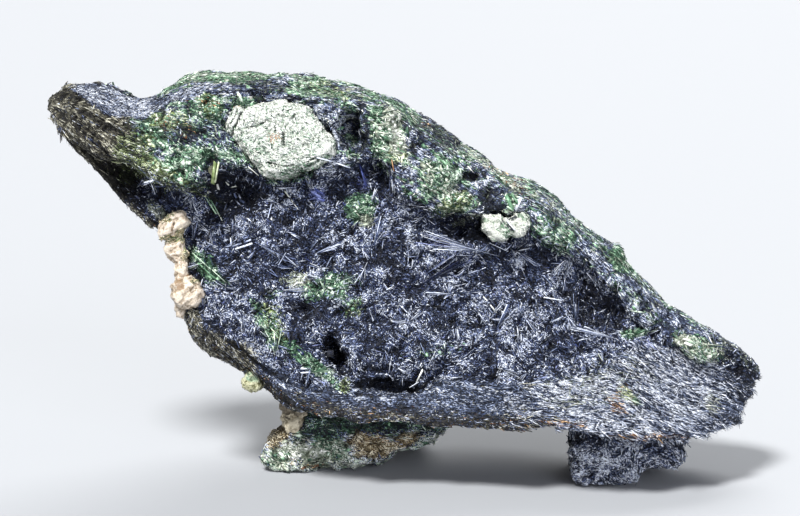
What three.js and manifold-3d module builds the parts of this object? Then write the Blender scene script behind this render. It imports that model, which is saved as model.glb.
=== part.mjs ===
/**
 * Glaucophane specimen: a hand-sized shard of schist with a broken face full of glaucophane needles.
 *
 * The rock is modelled in its face frame: x runs along the face to the right, v up the face, and n out of
 * the face. Three.js local axes there are (x, -n, v). The face frame leans back by LEAN, and the specimen
 * stands on two feet whose soles are flat at z = 0. All lengths are millimetres, +Z is up.
 */
import * as THREE from "three";
import { mergeVertices } from "three/addons/utils/BufferGeometryUtils.js";
import Module from "manifold-3d";

const wasm = await Module();
wasm.setup();

// ---- Driving dimensions --------------------------------------------------------------------------------

const LEAN = THREE.MathUtils.degToRad(10); // the broken face leans back this far from the vertical
const SOCKET_GAP = 0.3; // clearance between the rock and each crystal set in it
const BACK_DEPTH = 23; // deepest point of the rock's back behind the face plane
const WIDEST_COLUMN = 3.5; // longest grid step along the rock
const NARROWEST_COLUMN = 1.4; // outline corners nearer than this share a grid step
const BACK_STEPS = 3; // grid steps from the face to the back, over the crest and under the keel
const ROUGHNESS = 0.55; // height of the broken surface's bumps
const RIM_SAG = 1.6; // how far the rock rounds outwards over the crest and under the keel
const TIP_LENGTH = 6; // over this length at either tip the rounding dies away

/**
 * The face is lofted through five long edges that run from the left tip to the right tip.
 * Keel: lower rim of the rock, as rows of x, v and n.
 */
const KEEL = [
  [-50, 52, 1], [-47, 47, 1.5], [-39, 39, 1.5], [-34, 34.5, 0.5], [-31.5, 30, -1], [-30.5, 23, -2.5],
  [-29, 18.5, -2], [-22.5, 14.5, 0], [-19.5, 12, 1.5], [-15.5, 10.5, 5.5], [-6.5, 9, 8.5], [1, 9, 9],
  [6, 8, 9.5], [13.5, 8, 11], [19.5, 8, 12], [24, 7.5, 13], [32, 6.5, 13], [40.5, 6.5, 9.5], [46, 8, 5.5],
  [47.5, 11, 3], [50, 14.5, 0.5],
];
/** Crest: the skyline, as rows of x, v and n. */
const CREST = [
  [-50, 52.5, 1], [-49, 53.5, 1], [-47.5, 55.5, 0.5], [-42.5, 56, -1.5], [-37.5, 54, -4.5], [-33.5, 55, -5],
  [-32, 56.5, -5.5], [-29.5, 57.5, -6], [-17, 58, -6], [-11, 57.5, -6], [0, 53.5, -6], [5, 50, -5],
  [8.5, 47, -5], [19.5, 41.5, -5], [24.5, 37.5, -4.5], [28, 34, -4], [30.5, 32.5, -3.5],
  [31.5, 31, -3.5], [37, 25, -3], [46, 19.5, -2], [49, 18, -1], [50, 15.5, 0],
];
/** Lip: lower edge of the crest layer, as rows of x, drop below the crest and n. */
const LIP = [
  [-50, 0.5, 2], [-46, 0.5, 6], [-43, 3.5, 7], [-40, 4.5, 7.5], [-35.5, 4, 7.5], [-31, 4.5, 7],
  [-24, 2.5, 6.5], [-13, 4.5, 5.5], [-4, 2.5, 5.5], [0, 3.5, 5.5], [7.5, 4, 4.5], [11, 2, 4],
  [29, 3, 3], [39, 1, 1.5], [50, 0.5, 0.5],
];
/** Belt: lower edge of the mica belt, as rows of x, v, n just above the edge and n just below it. */
const BELT = [
  [-50, 52, 2, 1], [-44, 46, 7.5, 1], [-37.5, 44.5, 8.5, -2], [-30.5, 41, 8, -1], [-26, 43.5, 7.5, -1],
  [-22, 44.5, 6.5, 0], [-20, 43, 6, 1], [-9.5, 43, 4.5, 1.5], [-4, 46, 4, 1], [0.5, 39.5, 6, 1.5],
  [6, 37, 5.5, 0.5], [11, 37.5, 5, 0], [12, 34, 4.5, 1], [18, 35, 4, 0.5], [25.5, 30.5, 3, -1.5],
  [33, 22.5, 2.5, 0], [43.5, 18.5, 1.5, 1], [50, 15, 0.5, 0.5],
];
/** Shelf: top of the lower schist layer, as rows of x, rise above the keel and n. */
const SHELF = [
  [-50, 0.5, 1], [-44, 1, 2], [-34.5, 1.5, 1.5], [-31, 2, 3.5], [-27.5, 4.5, 5], [-19.5, 6, 6],
  [-14.5, 3, 6.5], [0.5, 4.5, 5.5], [6, 6, 5.5], [20, 6, 5], [27, 8.5, 4], [33, 13, 3.5],
  [41, 12, 3], [47, 4, 2], [50, 0.5, 0.5],
];
/** Grid rows between the edges, counted from the keel. The steps are the sharp risers at an edge. */
const ROWS = { layer: 3, shelfStep: 1, face: 6, beltStep: 1, belt: 3, crest: 2 };
/** How far each band of the back is broken in from the deepest plane, so that it steps at the risers. */
const BACK_LEDGES = { layer: 1.6, face: 0, belt: 1.5, crest: 2.8 };
const FULL_LEDGE_DEPTH = 12; // where the back is thinner than this its ledges are smaller
const THINNEST_BACK = 2.5; // least depth of the back behind the face plane
const STEP_HEIGHT = 0.6; // height of a sharp riser
const HALF_LENGTH = 50; // from the middle of the rock to either tip

// ---- Small helpers -------------------------------------------------------------------------------------

const { lerp, clamp, degToRad } = THREE.MathUtils;

/** Column k of a table of rows, read at x by straight interpolation. */
function at(table, x, k = 1) {
  const last = table.length - 1;
  let i = 1;
  while (i < last && table[i][0] < x) i++;
  const [a, b] = [table[i - 1], table[i]];
  return lerp(a[k], b[k], clamp((x - a[0]) / (b[0] - a[0]), 0, 1));
}

/** Repeatable random numbers from 0 to 1. */
function randomFrom(seed) {
  let state = seed;
  return () => {
    state = (state + 0x6d2b79f5) | 0;
    let t = Math.imul(state ^ (state >>> 15), 1 | state);
    t = (t + Math.imul(t ^ (t >>> 7), 61 | t)) ^ t;
    return ((t ^ (t >>> 14)) >>> 0) / 4294967296;
  };
}

/** Smooth value noise from -1 to 1 at a point, one bump to a unit. */
function noise(x, y, z) {
  const hash = (i, j, k) => {
    const s = Math.sin(i * 127.1 + j * 311.7 + k * 74.7) * 43758.5453;
    return (s - Math.floor(s)) * 2 - 1;
  };
  const [i, j, k] = [Math.floor(x), Math.floor(y), Math.floor(z)];
  const [a, b, c] = [x - i, y - j, z - k].map((t) => t * t * (3 - 2 * t));
  const row = (dj, dk) => lerp(hash(i, j + dj, k + dk), hash(i + 1, j + dj, k + dk), a);
  return lerp(lerp(row(0, 0), row(1, 0), b), lerp(row(0, 1), row(1, 1), b), c);
}

/** Two sizes of bumps, at a point in the face frame. */
function bumps(x, n, v) {
  return 0.65 * noise(x / 4.2, n / 4.2, v / 4.2) + 0.35 * noise(x / 1.9 + 9, n / 1.9, v / 1.9);
}

/** A closed three.js geometry as a manifold-3d solid. */
function solidFrom(geometry) {
  const bare = geometry.clone();
  bare.deleteAttribute("normal");
  bare.deleteAttribute("uv");
  const merged = mergeVertices(bare, 1e-4);
  return new wasm.Manifold(
    new wasm.Mesh({
      numProp: 3,
      vertProperties: new Float32Array(merged.attributes.position.array),
      triVerts: new Uint32Array(merged.index.array),
    }),
  );
}

/** A manifold-3d solid as a three.js geometry with flat faces. */
function geometryFrom(solid) {
  const mesh = solid.getMesh();
  const indexed = new THREE.BufferGeometry();
  indexed.setAttribute("position", new THREE.BufferAttribute(mesh.vertProperties, 3));
  indexed.setIndex(new THREE.BufferAttribute(mesh.triVerts, 1));
  const flat = indexed.toNonIndexed();
  flat.computeVertexNormals();
  return flat;
}

/** Moves every vertex of a geometry by a function that changes the vector it is given. */
function reshape(geometry, change) {
  const position = geometry.attributes.position;
  const point = new THREE.Vector3();
  for (let i = 0; i < position.count; i++) {
    point.fromBufferAttribute(position, i);
    change(point);
    position.setXYZ(i, point.x, point.y, point.z);
  }
  return geometry;
}

// ---- The rock ------------------------------------------------------------------------------------------

/** v and n of the face along grid column x, from the keel up to the crest. */
function faceColumn(x) {
  const [keel, keelN] = [at(KEEL, x), at(KEEL, x, 2)];
  const [crest, crestN] = [at(CREST, x), at(CREST, x, 2)];
  const span = crest - keel;
  const shelf = keel + Math.min(at(SHELF, x), 0.45 * span);
  const lip = crest - Math.min(at(LIP, x), 0.3 * span);
  const belt = clamp(at(BELT, x), shelf + 0.1 * span, lip - 0.1 * span);
  const step = Math.min(STEP_HEIGHT, 0.05 * span);
  const edges = [
    { v: keel, n: keelN, ledge: BACK_LEDGES.layer },
    { v: shelf, n: at(SHELF, x, 2), rows: ROWS.layer, bend: 0.8, ledge: BACK_LEDGES.layer },
    { v: shelf + step, n: at(SHELF, x, 2) - 0.8, rows: ROWS.shelfStep, bend: 1, ledge: BACK_LEDGES.face },
    { v: belt - step, n: at(BELT, x, 3), rows: ROWS.face, bend: 1, ledge: BACK_LEDGES.face },
    { v: belt, n: at(BELT, x, 2), rows: ROWS.beltStep, bend: 1, ledge: BACK_LEDGES.belt },
    { v: lip, n: at(LIP, x, 2), rows: ROWS.belt, bend: 1, ledge: BACK_LEDGES.belt },
    { v: crest, n: crestN, rows: ROWS.crest, bend: 1.7, ledge: BACK_LEDGES.crest },
  ];
  const column = [edges[0]];
  for (let i = 1; i < edges.length; i++) {
    const [low, high] = [edges[i - 1], edges[i]];
    for (let r = 1; r <= high.rows; r++) {
      const t = r / high.rows;
      column.push({
        v: lerp(low.v, high.v, t),
        n: lerp(low.n, high.n, t ** high.bend),
        ledge: lerp(low.ledge, high.ledge, t),
      });
    }
  }
  return column;
}

/** Depth of the rock's back behind the face plane: the least of a few broken planes, less the ledge. */
function backDepth(x, v, ledge) {
  const below = at(CREST, x) - v;
  const above = v - at(KEEL, x);
  const planes = [
    BACK_DEPTH - 0.06 * Math.abs(x + 8),
    11 + 1.15 * below,
    11 + 1.2 * above,
    6.5 + 0.6 * (x + HALF_LENGTH),
    4.5 + 0.62 * (HALF_LENGTH - x),
    20 + 0.35 * below - 0.22 * (x + 20),
  ];
  const deepest = Math.min(...planes);
  return Math.max(THINNEST_BACK, deepest - ledge * Math.min(1, deepest / FULL_LEDGE_DEPTH));
}

/** Grid columns: the corners of the outline, and steps between them where they are far apart. */
function columnPlaces() {
  const corners = [...KEEL, ...CREST].map(([x]) => x).sort((a, b) => a - b);
  const places = [corners[0]];
  for (const x of corners) {
    const gap = x - places.at(-1);
    if (gap < NARROWEST_COLUMN) continue;
    const from = places.at(-1);
    const steps = Math.ceil(gap / WIDEST_COLUMN);
    for (let i = 1; i <= steps; i++) places.push(lerp(from, x, i / steps));
  }
  places[places.length - 1] = HALF_LENGTH;
  return places;
}

/** The rock without its feet: a box grid whose front is the face loft and whose back is the broken back. */
function rockGeometry() {
  const rows = Object.values(ROWS).reduce((a, b) => a + b);
  const columns = columnPlaces().map((x) => ({ x, face: faceColumn(x) }));
  const steps = columns.length - 1;
  const box = new THREE.BoxGeometry(1, 1, 1, steps, BACK_STEPS, rows);
  return reshape(box, (p) => {
    const { x, face } = columns[Math.round((p.x + 0.5) * steps)];
    const { v, n, ledge } = face[Math.round((p.z + 0.5) * rows)];
    const inward = p.y + 0.5;
    const side = (p.z < -0.499 ? 1 : 0) - (p.z > 0.499 ? 1 : 0);
    const depth = lerp(-n, backDepth(x, v, ledge), inward);
    const rim = Math.min(1, Math.min(v - face[0].v, face[rows].v - v) / 2 + 0.25);
    const rough = ROUGHNESS * bumps(x, -depth, v) * (inward < 0.01 ? rim : 1);
    const taper = Math.min(1, (HALF_LENGTH - Math.abs(x)) / TIP_LENGTH);
    const sag = RIM_SAG * side * taper * Math.sin(Math.PI * inward);
    p.set(x, depth - rough * Math.cos(Math.PI * inward), v + sag);
  });
}

/** Scales a unit form, turns it in the face plane and puts it at (x, v, n). */
function place(form, { x, v, n, rx, rv, rn, turn = 0 }) {
  form.scale(rx, rn, rv);
  form.rotateY(degToRad(-turn));
  return form.translate(x, -n, v);
}

/** Breaks up a unit form by noise whose pattern depends on where the form is put. */
function roughen(form, { x, v, n }, size, rough) {
  const bumpAt = (p) => bumps(p.x * BUMP_SPAN + x, p.y * BUMP_SPAN + n, p.z * BUMP_SPAN + v);
  return reshape(form, (p) => p.multiplyScalar(size + rough * bumpAt(p)));
}
const BUMP_SPAN = 4.5; // a unit form is this many noise lengths in radius
const BLOCK_SIZE = 1.08; // a twelve-sided block of this radius fills about a unit ball
const LUMP_ROUGHNESS = 0.12; // share of its radius by which a lump is broken up
const HOLLOW_ROUGHNESS = 0.2; // the same for a hollow

/** An angular lump: a block of twelve flat sides, broken up by noise. */
function lump(where) {
  const block = new THREE.DodecahedronGeometry(1, 0);
  return place(roughen(block, where, BLOCK_SIZE, where.rough ?? LUMP_ROUGHNESS), where);
}

/**
 * The feet, each an outline in the face plane that runs from front to back along n and narrows on the way.
 * They reach up into the rock, and their soles are cut flat by the ground.
 */
const FEET = {
  left: {
    outline: [
      [-18.5, 6.5], [-20, 5], [-20.5, 2.5], [-18, 0], [-13, 0], [-11, 1], [-2.5, 2], [-1, 4], [5, 4.5],
      [6.5, 8], [4, 14], [-12, 15], [-15.5, 10], [-16.5, 7.5],
    ],
    front: -3.5,
    back: -22.5,
    narrowing: 0.16,
  },
  right: {
    outline: [
      [23.5, 9], [23, 2], [24, 0], [27.5, -0.5], [31, -0.5], [33.5, 1.5], [38.5, 2.5], [39.5, 5],
      [41, 9], [32, 12],
    ],
    front: 4.5,
    back: -10.5,
    narrowing: 0.2,
  },
};
const FOOT_STEPS = 4; // grid steps from the front of a foot to its back
const FOOT_BEVEL = 1.1; // how far the front and back edges of a foot are broken off

/** One foot: its outline extruded along n, narrowed towards the back and broken up by noise. */
function foot({ outline, front, back, narrowing }) {
  const shape = new THREE.Shape(outline.map(([x, v]) => new THREE.Vector2(x, v)));
  const length = front - back - 2 * FOOT_BEVEL;
  const block = new THREE.ExtrudeGeometry(shape, {
    depth: length,
    steps: FOOT_STEPS,
    bevelThickness: FOOT_BEVEL,
    bevelSize: FOOT_BEVEL * 0.7,
    bevelOffset: -FOOT_BEVEL * 0.7,
    bevelSegments: 1,
    curveSegments: 1,
  });
  block.rotateX(Math.PI / 2).translate(0, -(back + FOOT_BEVEL), 0);
  const mean = (k) => outline.reduce((sum, row) => sum + row[k], 0) / outline.length;
  const [middleX, middleV] = [mean(0), mean(1)];
  return reshape(block, (p) => {
    const behind = clamp((p.y + front) / (front - back), 0, 1);
    const keep = 1 - narrowing * behind;
    const rough = ROUGHNESS * bumps(p.x, p.y, p.z);
    const away = p.x > middleX ? 1 : -1;
    p.set(middleX + (p.x - middleX) * keep + away * rough, p.y + rough, middleV + (p.z - middleV) * keep);
  });
}

/** Lumps that stand out of the face: grains, mica books and the knob on the skyline. */
const LUMPS = [
  { x: -27.5, v: 50.4, n: 6.6, rx: 3.4, rv: 1.9, rn: 1.6, turn: 12 },
  { x: -31.5, v: 47.6, n: 7, rx: 3, rv: 2, rn: 1.9, turn: -30 },
  { x: -29.8, v: 43.6, n: 7.3, rx: 2.9, rv: 1.6, rn: 1.8, turn: -25 },
  { x: -2.4, v: 50, n: 5, rx: 1.6, rv: 2.6, rn: 1.9, turn: 12 },
  { x: -2.6, v: 46.4, n: 4.2, rx: 1.9, rv: 1.6, rn: 1.7, turn: 0 },
  { x: 4.4, v: 42.4, n: 5.4, rx: 3, rv: 2.8, rn: 1.8, turn: 20 },
  { x: 7.4, v: 39, n: 5, rx: 2.6, rv: 1.3, rn: 1.7, turn: 12 },
  { x: 4.8, v: 48.2, n: -1.5, rx: 3.8, rv: 1.9, rn: 4.5, turn: -32 },
  { x: -5.5, v: 37.2, n: 2, rx: 1.6, rv: 1.5, rn: 1.4, turn: 0 },
  { x: 29.3, v: 31.6, n: 1.4, rx: 2, rv: 1.4, rn: 2, turn: -40 },
  { x: 40.6, v: 18.6, n: 2.6, rx: 3.6, rv: 1.5, rn: 1.6, turn: -25 },
];

/** The felt-like cushion of fine needles over the slit. */
const CUSHION = { x: -1.5, v: 18, n: 3.2, rx: 9, rv: 4.6, rn: 3.4, turn: 4 };

/** A low rounded mound of the face. */
function cushion(where) {
  return place(roughen(new THREE.IcosahedronGeometry(1, 1), where, 1, 0.16), where);
}

/** Hollows broken or weathered into the face. */
const HOLLOWS = [
  { x: -9.2, v: 17.6, n: 7, rx: 1.4, rv: 2.8, rn: 8.5, turn: 24 },
  { x: -1.8, v: 13.3, n: 7.5, rx: 4.8, rv: 1.1, rn: 7, turn: 0 },
  { x: -13.6, v: 24, n: 4.5, rx: 2.2, rv: 0.7, rn: 4, turn: -28 },
  { x: -23.8, v: 40.4, n: 2, rx: 3.8, rv: 2.6, rn: 5.5, turn: -10 },
  { x: -38, v: 41.8, n: 0, rx: 4.6, rv: 1.7, rn: 3.4, turn: -38 },
  { x: -7, v: 48.6, n: 5.5, rx: 2, rv: 3.9, rn: 7.5, turn: 6 },
  { x: -20.8, v: 53.6, n: 6, rx: 4, rv: 0.9, rn: 5, turn: 0 },
  { x: -3.6, v: 43.6, n: 3, rx: 1.7, rv: 1.8, rn: 4.5, turn: 20 },
  { x: 7.6, v: 35.6, n: 3, rx: 4, rv: 1.9, rn: 5.5, turn: -20 },
  { x: 27.4, v: 24, n: 1.6, rx: 4.6, rv: 2.3, rn: 4.5, turn: -35 },
  { x: 9.3, v: 42.5, n: 5, rx: 1.7, rv: 0.7, rn: 2, turn: -20 },
];

const RHOMB_FLATNESS = 0.72; // height of a needle's rhombic section over its width

/** One needle: a prism of rhombic section that lies on the face at (x, v), turned and tilted out of it. */
function needle(x, v, n, length, width, turn, tilt) {
  const side = width * Math.SQRT1_2;
  const prism = new THREE.BoxGeometry(side, side, length);
  prism.rotateZ(Math.PI / 4);
  prism.scale(1, RHOMB_FLATNESS, 1);
  prism.rotateX(tilt);
  prism.rotateY(turn);
  return prism.translate(x, -n, v);
}

/** n of the face at a point, read from the loft. */
function faceHeight(x, v) {
  const column = faceColumn(x);
  let i = 1;
  while (i < column.length - 1 && column[i].v < v) i++;
  const [a, b] = [column[i - 1], column[i]];
  return lerp(a.n, b.n, clamp((v - a.v) / (b.v - a.v), 0, 1));
}

/** Ellipses that bound the two crystals of the face, so that no needle is laid over them. */
const CRYSTAL_BOUNDS = [
  { x: -16.8, v: 47.2, rx: 8, rv: 5.8 },
  { x: 14.2, v: 36.8, rx: 3.4, rv: 3.2 },
];

/** True where a point lies over a hollow or a crystal, or within a margin of it. */
function blocked(x, v, margin) {
  return [...HOLLOWS, ...CRYSTAL_BOUNDS].some((h) => {
    const a = degToRad(h.turn ?? 0);
    const [dx, dv] = [x - h.x, v - h.v];
    const along = (dx * Math.cos(a) + dv * Math.sin(a)) / (h.rx + margin);
    const across = (dv * Math.cos(a) - dx * Math.sin(a)) / (h.rv + margin);
    return along * along + across * across < 1;
  });
}

/** The scattered needles: how many, where along the rock, and their ranges of size and of tilt. */
const NEEDLES = {
  count: 46,
  seed: 11,
  along: [-27, 37],
  length: [3.5, 7.5],
  width: [0.7, 1.15],
  tilt: [-0.22, 0.22],
};
const NEEDLE_MARGIN = 0.8; // needles keep this far from edges, hollows and crystals
const SHORTEST_FACE = 4; // where the needle face is lower than this it has no large needles
const NEEDLE_RISE = 0.35; // a needle's axis lies this far out of the face
const SHEAF_RISE = 0.45; // the same for a needle of a sheaf
const SHEAF_WIDTH = 0.8; // width of a sheaf's needles

/** Sheaves of needles that fan out from a point: where, mean direction, half spread and reach. */
const SHEAVES = [
  { x: 4.5, v: 30.5, turn: 25, spread: 14, count: 7, reach: 8 },
  { x: 10.6, v: 32.6, turn: 164, spread: 10, count: 6, reach: 9 },
];

/** The larger needles of the face, as solids. */
function needles() {
  const random = randomFrom(NEEDLES.seed);
  const within = ([low, high]) => lerp(low, high, random());
  const made = [];
  while (made.length < NEEDLES.count) {
    const x = within(NEEDLES.along);
    const column = faceColumn(x);
    const low = column[ROWS.layer + ROWS.shelfStep].v;
    const high = column[ROWS.layer + ROWS.shelfStep + ROWS.face].v;
    const v = lerp(low + NEEDLE_MARGIN, high - NEEDLE_MARGIN, random());
    if (high - low < SHORTEST_FACE || blocked(x, v, NEEDLE_MARGIN)) continue;
    const [length, tilt, width] = [within(NEEDLES.length), within(NEEDLES.tilt), within(NEEDLES.width)];
    made.push(needle(x, v, faceHeight(x, v) + NEEDLE_RISE, length, width, Math.PI * random(), tilt));
  }
  for (const { x, v, turn, spread, count, reach } of SHEAVES)
    for (let i = 0; i < count; i++) {
      const angle = degToRad(turn + spread * ((2 * i) / (count - 1) - 1));
      const [mx, mv] = [x + (reach / 2) * Math.cos(angle), v + (reach / 2) * Math.sin(angle)];
      const n = faceHeight(mx, mv) + SHEAF_RISE;
      const length = reach * within([0.8, 1.1]);
      made.push(needle(mx, mv, n, length, SHEAF_WIDTH, Math.PI / 2 - angle, 0));
    }
  return made.map(solidFrom);
}

// ---- The crystals set in the rock ----------------------------------------------------------------------

/**
 * A crystal with a flat front: a hand-cut outline in the face plane, extruded along n and bevelled.
 * It is grown on every side by grow.
 */
function tablet({ outline, back, front, bevel }, grow) {
  const shape = new THREE.Shape(outline.map(([x, v]) => new THREE.Vector2(x, v)));
  const slab = new THREE.ExtrudeGeometry(shape, {
    depth: front - back - bevel + 2 * grow,
    bevelEnabled: true,
    bevelThickness: bevel,
    bevelSize: bevel * 0.8,
    bevelOffset: grow - bevel * 0.8,
    bevelSegments: 1,
    curveSegments: 1,
  });
  return slab.rotateX(Math.PI / 2).translate(0, grow - back, 0);
}

const PALE_CRYSTAL = {
  outline: [
    [-24.4, 50], [-23.3, 51.8], [-16.6, 52.6], [-13, 51.8], [-9.3, 47], [-9.4, 45.3], [-11.4, 43.6],
    [-16.8, 41.9], [-19, 42.4], [-24.2, 48.4],
  ],
  back: -1.5,
  front: 7.4,
  bevel: 1,
};
const CREAM_PAIR = [
  {
    outline: [[11, 37], [11, 35], [12.5, 33.5], [14.5, 33.5], [15, 35], [13.5, 37]],
    back: 1.5,
    front: 6.5,
    bevel: 0.6,
  },
  {
    outline: [[14, 36.5], [14.5, 34], [16.5, 34], [17.5, 35.5], [17.5, 37], [16.5, 37.5]],
    back: 1,
    front: 6,
    bevel: 0.6,
  },
];
const VEIN = [
  {
    outline: [[-34, 35.5], [-33.5, 33.5], [-31.5, 34.5], [-29.5, 36], [-30.5, 37.5], [-32, 37.5]],
    back: 0,
    front: 4.5,
    bevel: 0.6,
  },
  {
    outline: [[-33, 33], [-33, 31.5], [-31.5, 30.5], [-30.5, 32], [-30.5, 35], [-32.5, 35]],
    back: 0,
    front: 3.5,
    bevel: 0.5,
  },
  {
    outline: [[-31.5, 32], [-30, 32], [-30, 29], [-28.5, 27.5], [-30.5, 26], [-31.5, 28]],
    back: -0.5,
    front: 3.5,
    bevel: 0.5,
  },
  {
    outline: [[-31.5, 28], [-32, 26], [-30.5, 24], [-28.5, 24.5], [-27.5, 26], [-28.5, 28]],
    back: -0.5,
    front: 5,
    bevel: 0.7,
  },
  {
    outline: [[-31.5, 25.5], [-31.5, 23], [-30.5, 22.5], [-30, 25]],
    back: -0.5,
    front: 2.5,
    bevel: 0.3,
  },
];
const RIM_KNOB = [
  {
    outline: [[-22.5, 13.5], [-21.5, 15.5], [-20, 15], [-19.5, 13], [-21, 12.5]],
    back: -1,
    front: 3,
    bevel: 0.5,
  },
];
const FOOT_CALCITE = [
  {
    outline: [[-17, 10.5], [-17, 8.5], [-15.5, 7.5], [-13.5, 9], [-13.5, 10.5]],
    back: -8,
    front: -2.5,
    bevel: 0.4,
  },
  {
    outline: [[-16.5, 8.5], [-16.5, 7.5], [-15.5, 6.5], [-14.5, 7], [-14.5, 9]],
    back: -8,
    front: -2,
    bevel: 0.4,
  },
];
const SPEAR = { x: -26.2, v: 42.9, n: 5.2, length: 3.6, width: 1.3, turn: -0.12, tilt: 0.35 };

/** Tablets grown together, as one solid, grown on every side by grow. */
function grownTogether(tablets, grow) {
  return wasm.Manifold.union(tablets.map((t) => solidFrom(tablet(t, grow))));
}

/** The spear-shaped crystal: a flattened four-sided prism that narrows to its tip. */
function spear({ x, v, n, length, width, turn, tilt }, grow) {
  const prism = new THREE.CylinderGeometry(width * 0.62 + grow, 0.1 + grow, length + 2 * grow, 4, 1);
  prism.rotateX(Math.PI / 2);
  prism.scale(1, 0.7, 1);
  prism.rotateX(tilt);
  prism.rotateY(turn);
  return prism.translate(x, -n, v);
}

/** Each crystal's node: how its solid is made, grown by a clearance, and its colour. */
const CRYSTALS = {
  pale_green_crystal: { make: (grow) => solidFrom(tablet(PALE_CRYSTAL, grow)), colour: 0xc3d6b0 },
  cream_crystal_pair: { make: (grow) => grownTogether(CREAM_PAIR, grow), colour: 0xd9dcb6 },
  calcite_vein: { make: (grow) => grownTogether(VEIN, grow), colour: 0xdcc6a8 },
  calcite_rim_knob: { make: (grow) => grownTogether(RIM_KNOB, grow), colour: 0xc6c193 },
  calcite_foot_block: { make: (grow) => grownTogether(FOOT_CALCITE, grow), colour: 0x9c8f78 },
  spear_crystal: { make: (grow) => solidFrom(spear(SPEAR, grow)), colour: 0xa9ae6a },
};

// ---- Assembly ------------------------------------------------------------------------------------------

const face = new THREE.Group();
face.rotation.x = -LEAN;
face.updateMatrixWorld(true);

/** Everything below the ground plane, in the face frame. */
function ground() {
  const slab = new THREE.BoxGeometry(300, 300, 60).translate(0, 0, -30);
  return solidFrom(slab.applyMatrix4(face.matrixWorld.clone().invert()));
}

/** The whole rock: loft, feet and lumps joined, hollows and sockets cut, soles trimmed flat. */
function rockSolid() {
  const forms = [...Object.values(FEET).map(foot), ...LUMPS.map(lump), cushion(CUSHION)];
  const added = forms.map(solidFrom);
  const cut = [...HOLLOWS.map((h) => solidFrom(lump({ ...h, rough: HOLLOW_ROUGHNESS }))), ground()];
  const sockets = Object.values(CRYSTALS).map(({ make }) => make(SOCKET_GAP));
  const joined = wasm.Manifold.union([solidFrom(rockGeometry()), ...added]);
  const rock = joined.subtract(wasm.Manifold.union(cut));
  const whole = wasm.Manifold.union([rock, ...needles()]).subtract(wasm.Manifold.union(sockets));
  // A needle that crosses a socket can leave a loose crumb, so only the largest body is kept.
  return whole.decompose().reduce((a, b) => (b.volume() > a.volume() ? b : a));
}

const SCHIST_COLOUR = 0x3d4356;
const SCHIST_ROUGHNESS = 0.6;
const CRYSTAL_ROUGHNESS = 0.45;

/** A solid as a named mesh with a material of its own. */
function namedMesh(name, solid, colour, roughness) {
  const look = { color: colour, roughness, metalness: 0, flatShading: true };
  const material = new THREE.MeshStandardMaterial(look);
  const mesh = new THREE.Mesh(geometryFrom(solid), material);
  mesh.name = name;
  return mesh;
}

face.add(namedMesh("glaucophane_schist", rockSolid(), SCHIST_COLOUR, SCHIST_ROUGHNESS));
for (const [name, { make, colour }] of Object.entries(CRYSTALS)) {
  face.add(namedMesh(name, make(0), colour, CRYSTAL_ROUGHNESS));
}

// The specimen's origin is the middle of its footprint's box, on the ground.
const specimen = new THREE.Group();
specimen.add(face);
const bounds = new THREE.Box3().setFromObject(specimen, true);
face.position.set(-(bounds.min.x + bounds.max.x) / 2, -(bounds.min.y + bounds.max.y) / 2, 0);

export default specimen;
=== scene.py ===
"""Looks for the glaucophane specimen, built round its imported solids.

The rock's solid is remeshed fine and broken up by layers, facets and hollows. Glaucophane needles, schist
laths and mica flakes are then grown on it as joined meshes, zone by zone. The crystals set in the rock are
remeshed too.

Places on the rock are given in its face frame, in millimetres: x along the rock, v up the broken face and n
out of it. The face leans back by LEAN, as the solids do.
"""

import math
from functools import partialmethod

import bpy
import numpy as np
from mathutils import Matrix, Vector
from mathutils.bvhtree import BVHTree


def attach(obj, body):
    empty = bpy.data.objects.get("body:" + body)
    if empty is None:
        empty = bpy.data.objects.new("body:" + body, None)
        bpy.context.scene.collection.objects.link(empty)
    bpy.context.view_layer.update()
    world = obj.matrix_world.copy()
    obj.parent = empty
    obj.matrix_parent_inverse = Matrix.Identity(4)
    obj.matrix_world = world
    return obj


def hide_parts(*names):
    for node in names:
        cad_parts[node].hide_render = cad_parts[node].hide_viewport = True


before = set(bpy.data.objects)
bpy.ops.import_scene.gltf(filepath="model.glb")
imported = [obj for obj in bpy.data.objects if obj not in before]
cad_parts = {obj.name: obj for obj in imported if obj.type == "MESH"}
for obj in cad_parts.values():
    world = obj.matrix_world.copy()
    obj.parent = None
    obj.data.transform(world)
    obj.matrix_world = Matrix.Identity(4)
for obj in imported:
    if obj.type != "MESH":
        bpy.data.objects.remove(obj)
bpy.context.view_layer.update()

# ---- Driving values ----------------------------------------------------------------------------------------

MM = 0.001
LEAN = math.radians(10)
FACE_Y = -9.01  # the face frame's origin along the row's Y
ROOT = "root"

ROCK_VOXEL = 0.55 * MM
RAY_START = 60.0  # rays on to the face start this far in front of it, in its own millimetres
SOLE_CLEAR = 0.4 * MM  # nothing grows lower on the feet than this
CRYSTAL_VOXEL = 0.24 * MM

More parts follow.
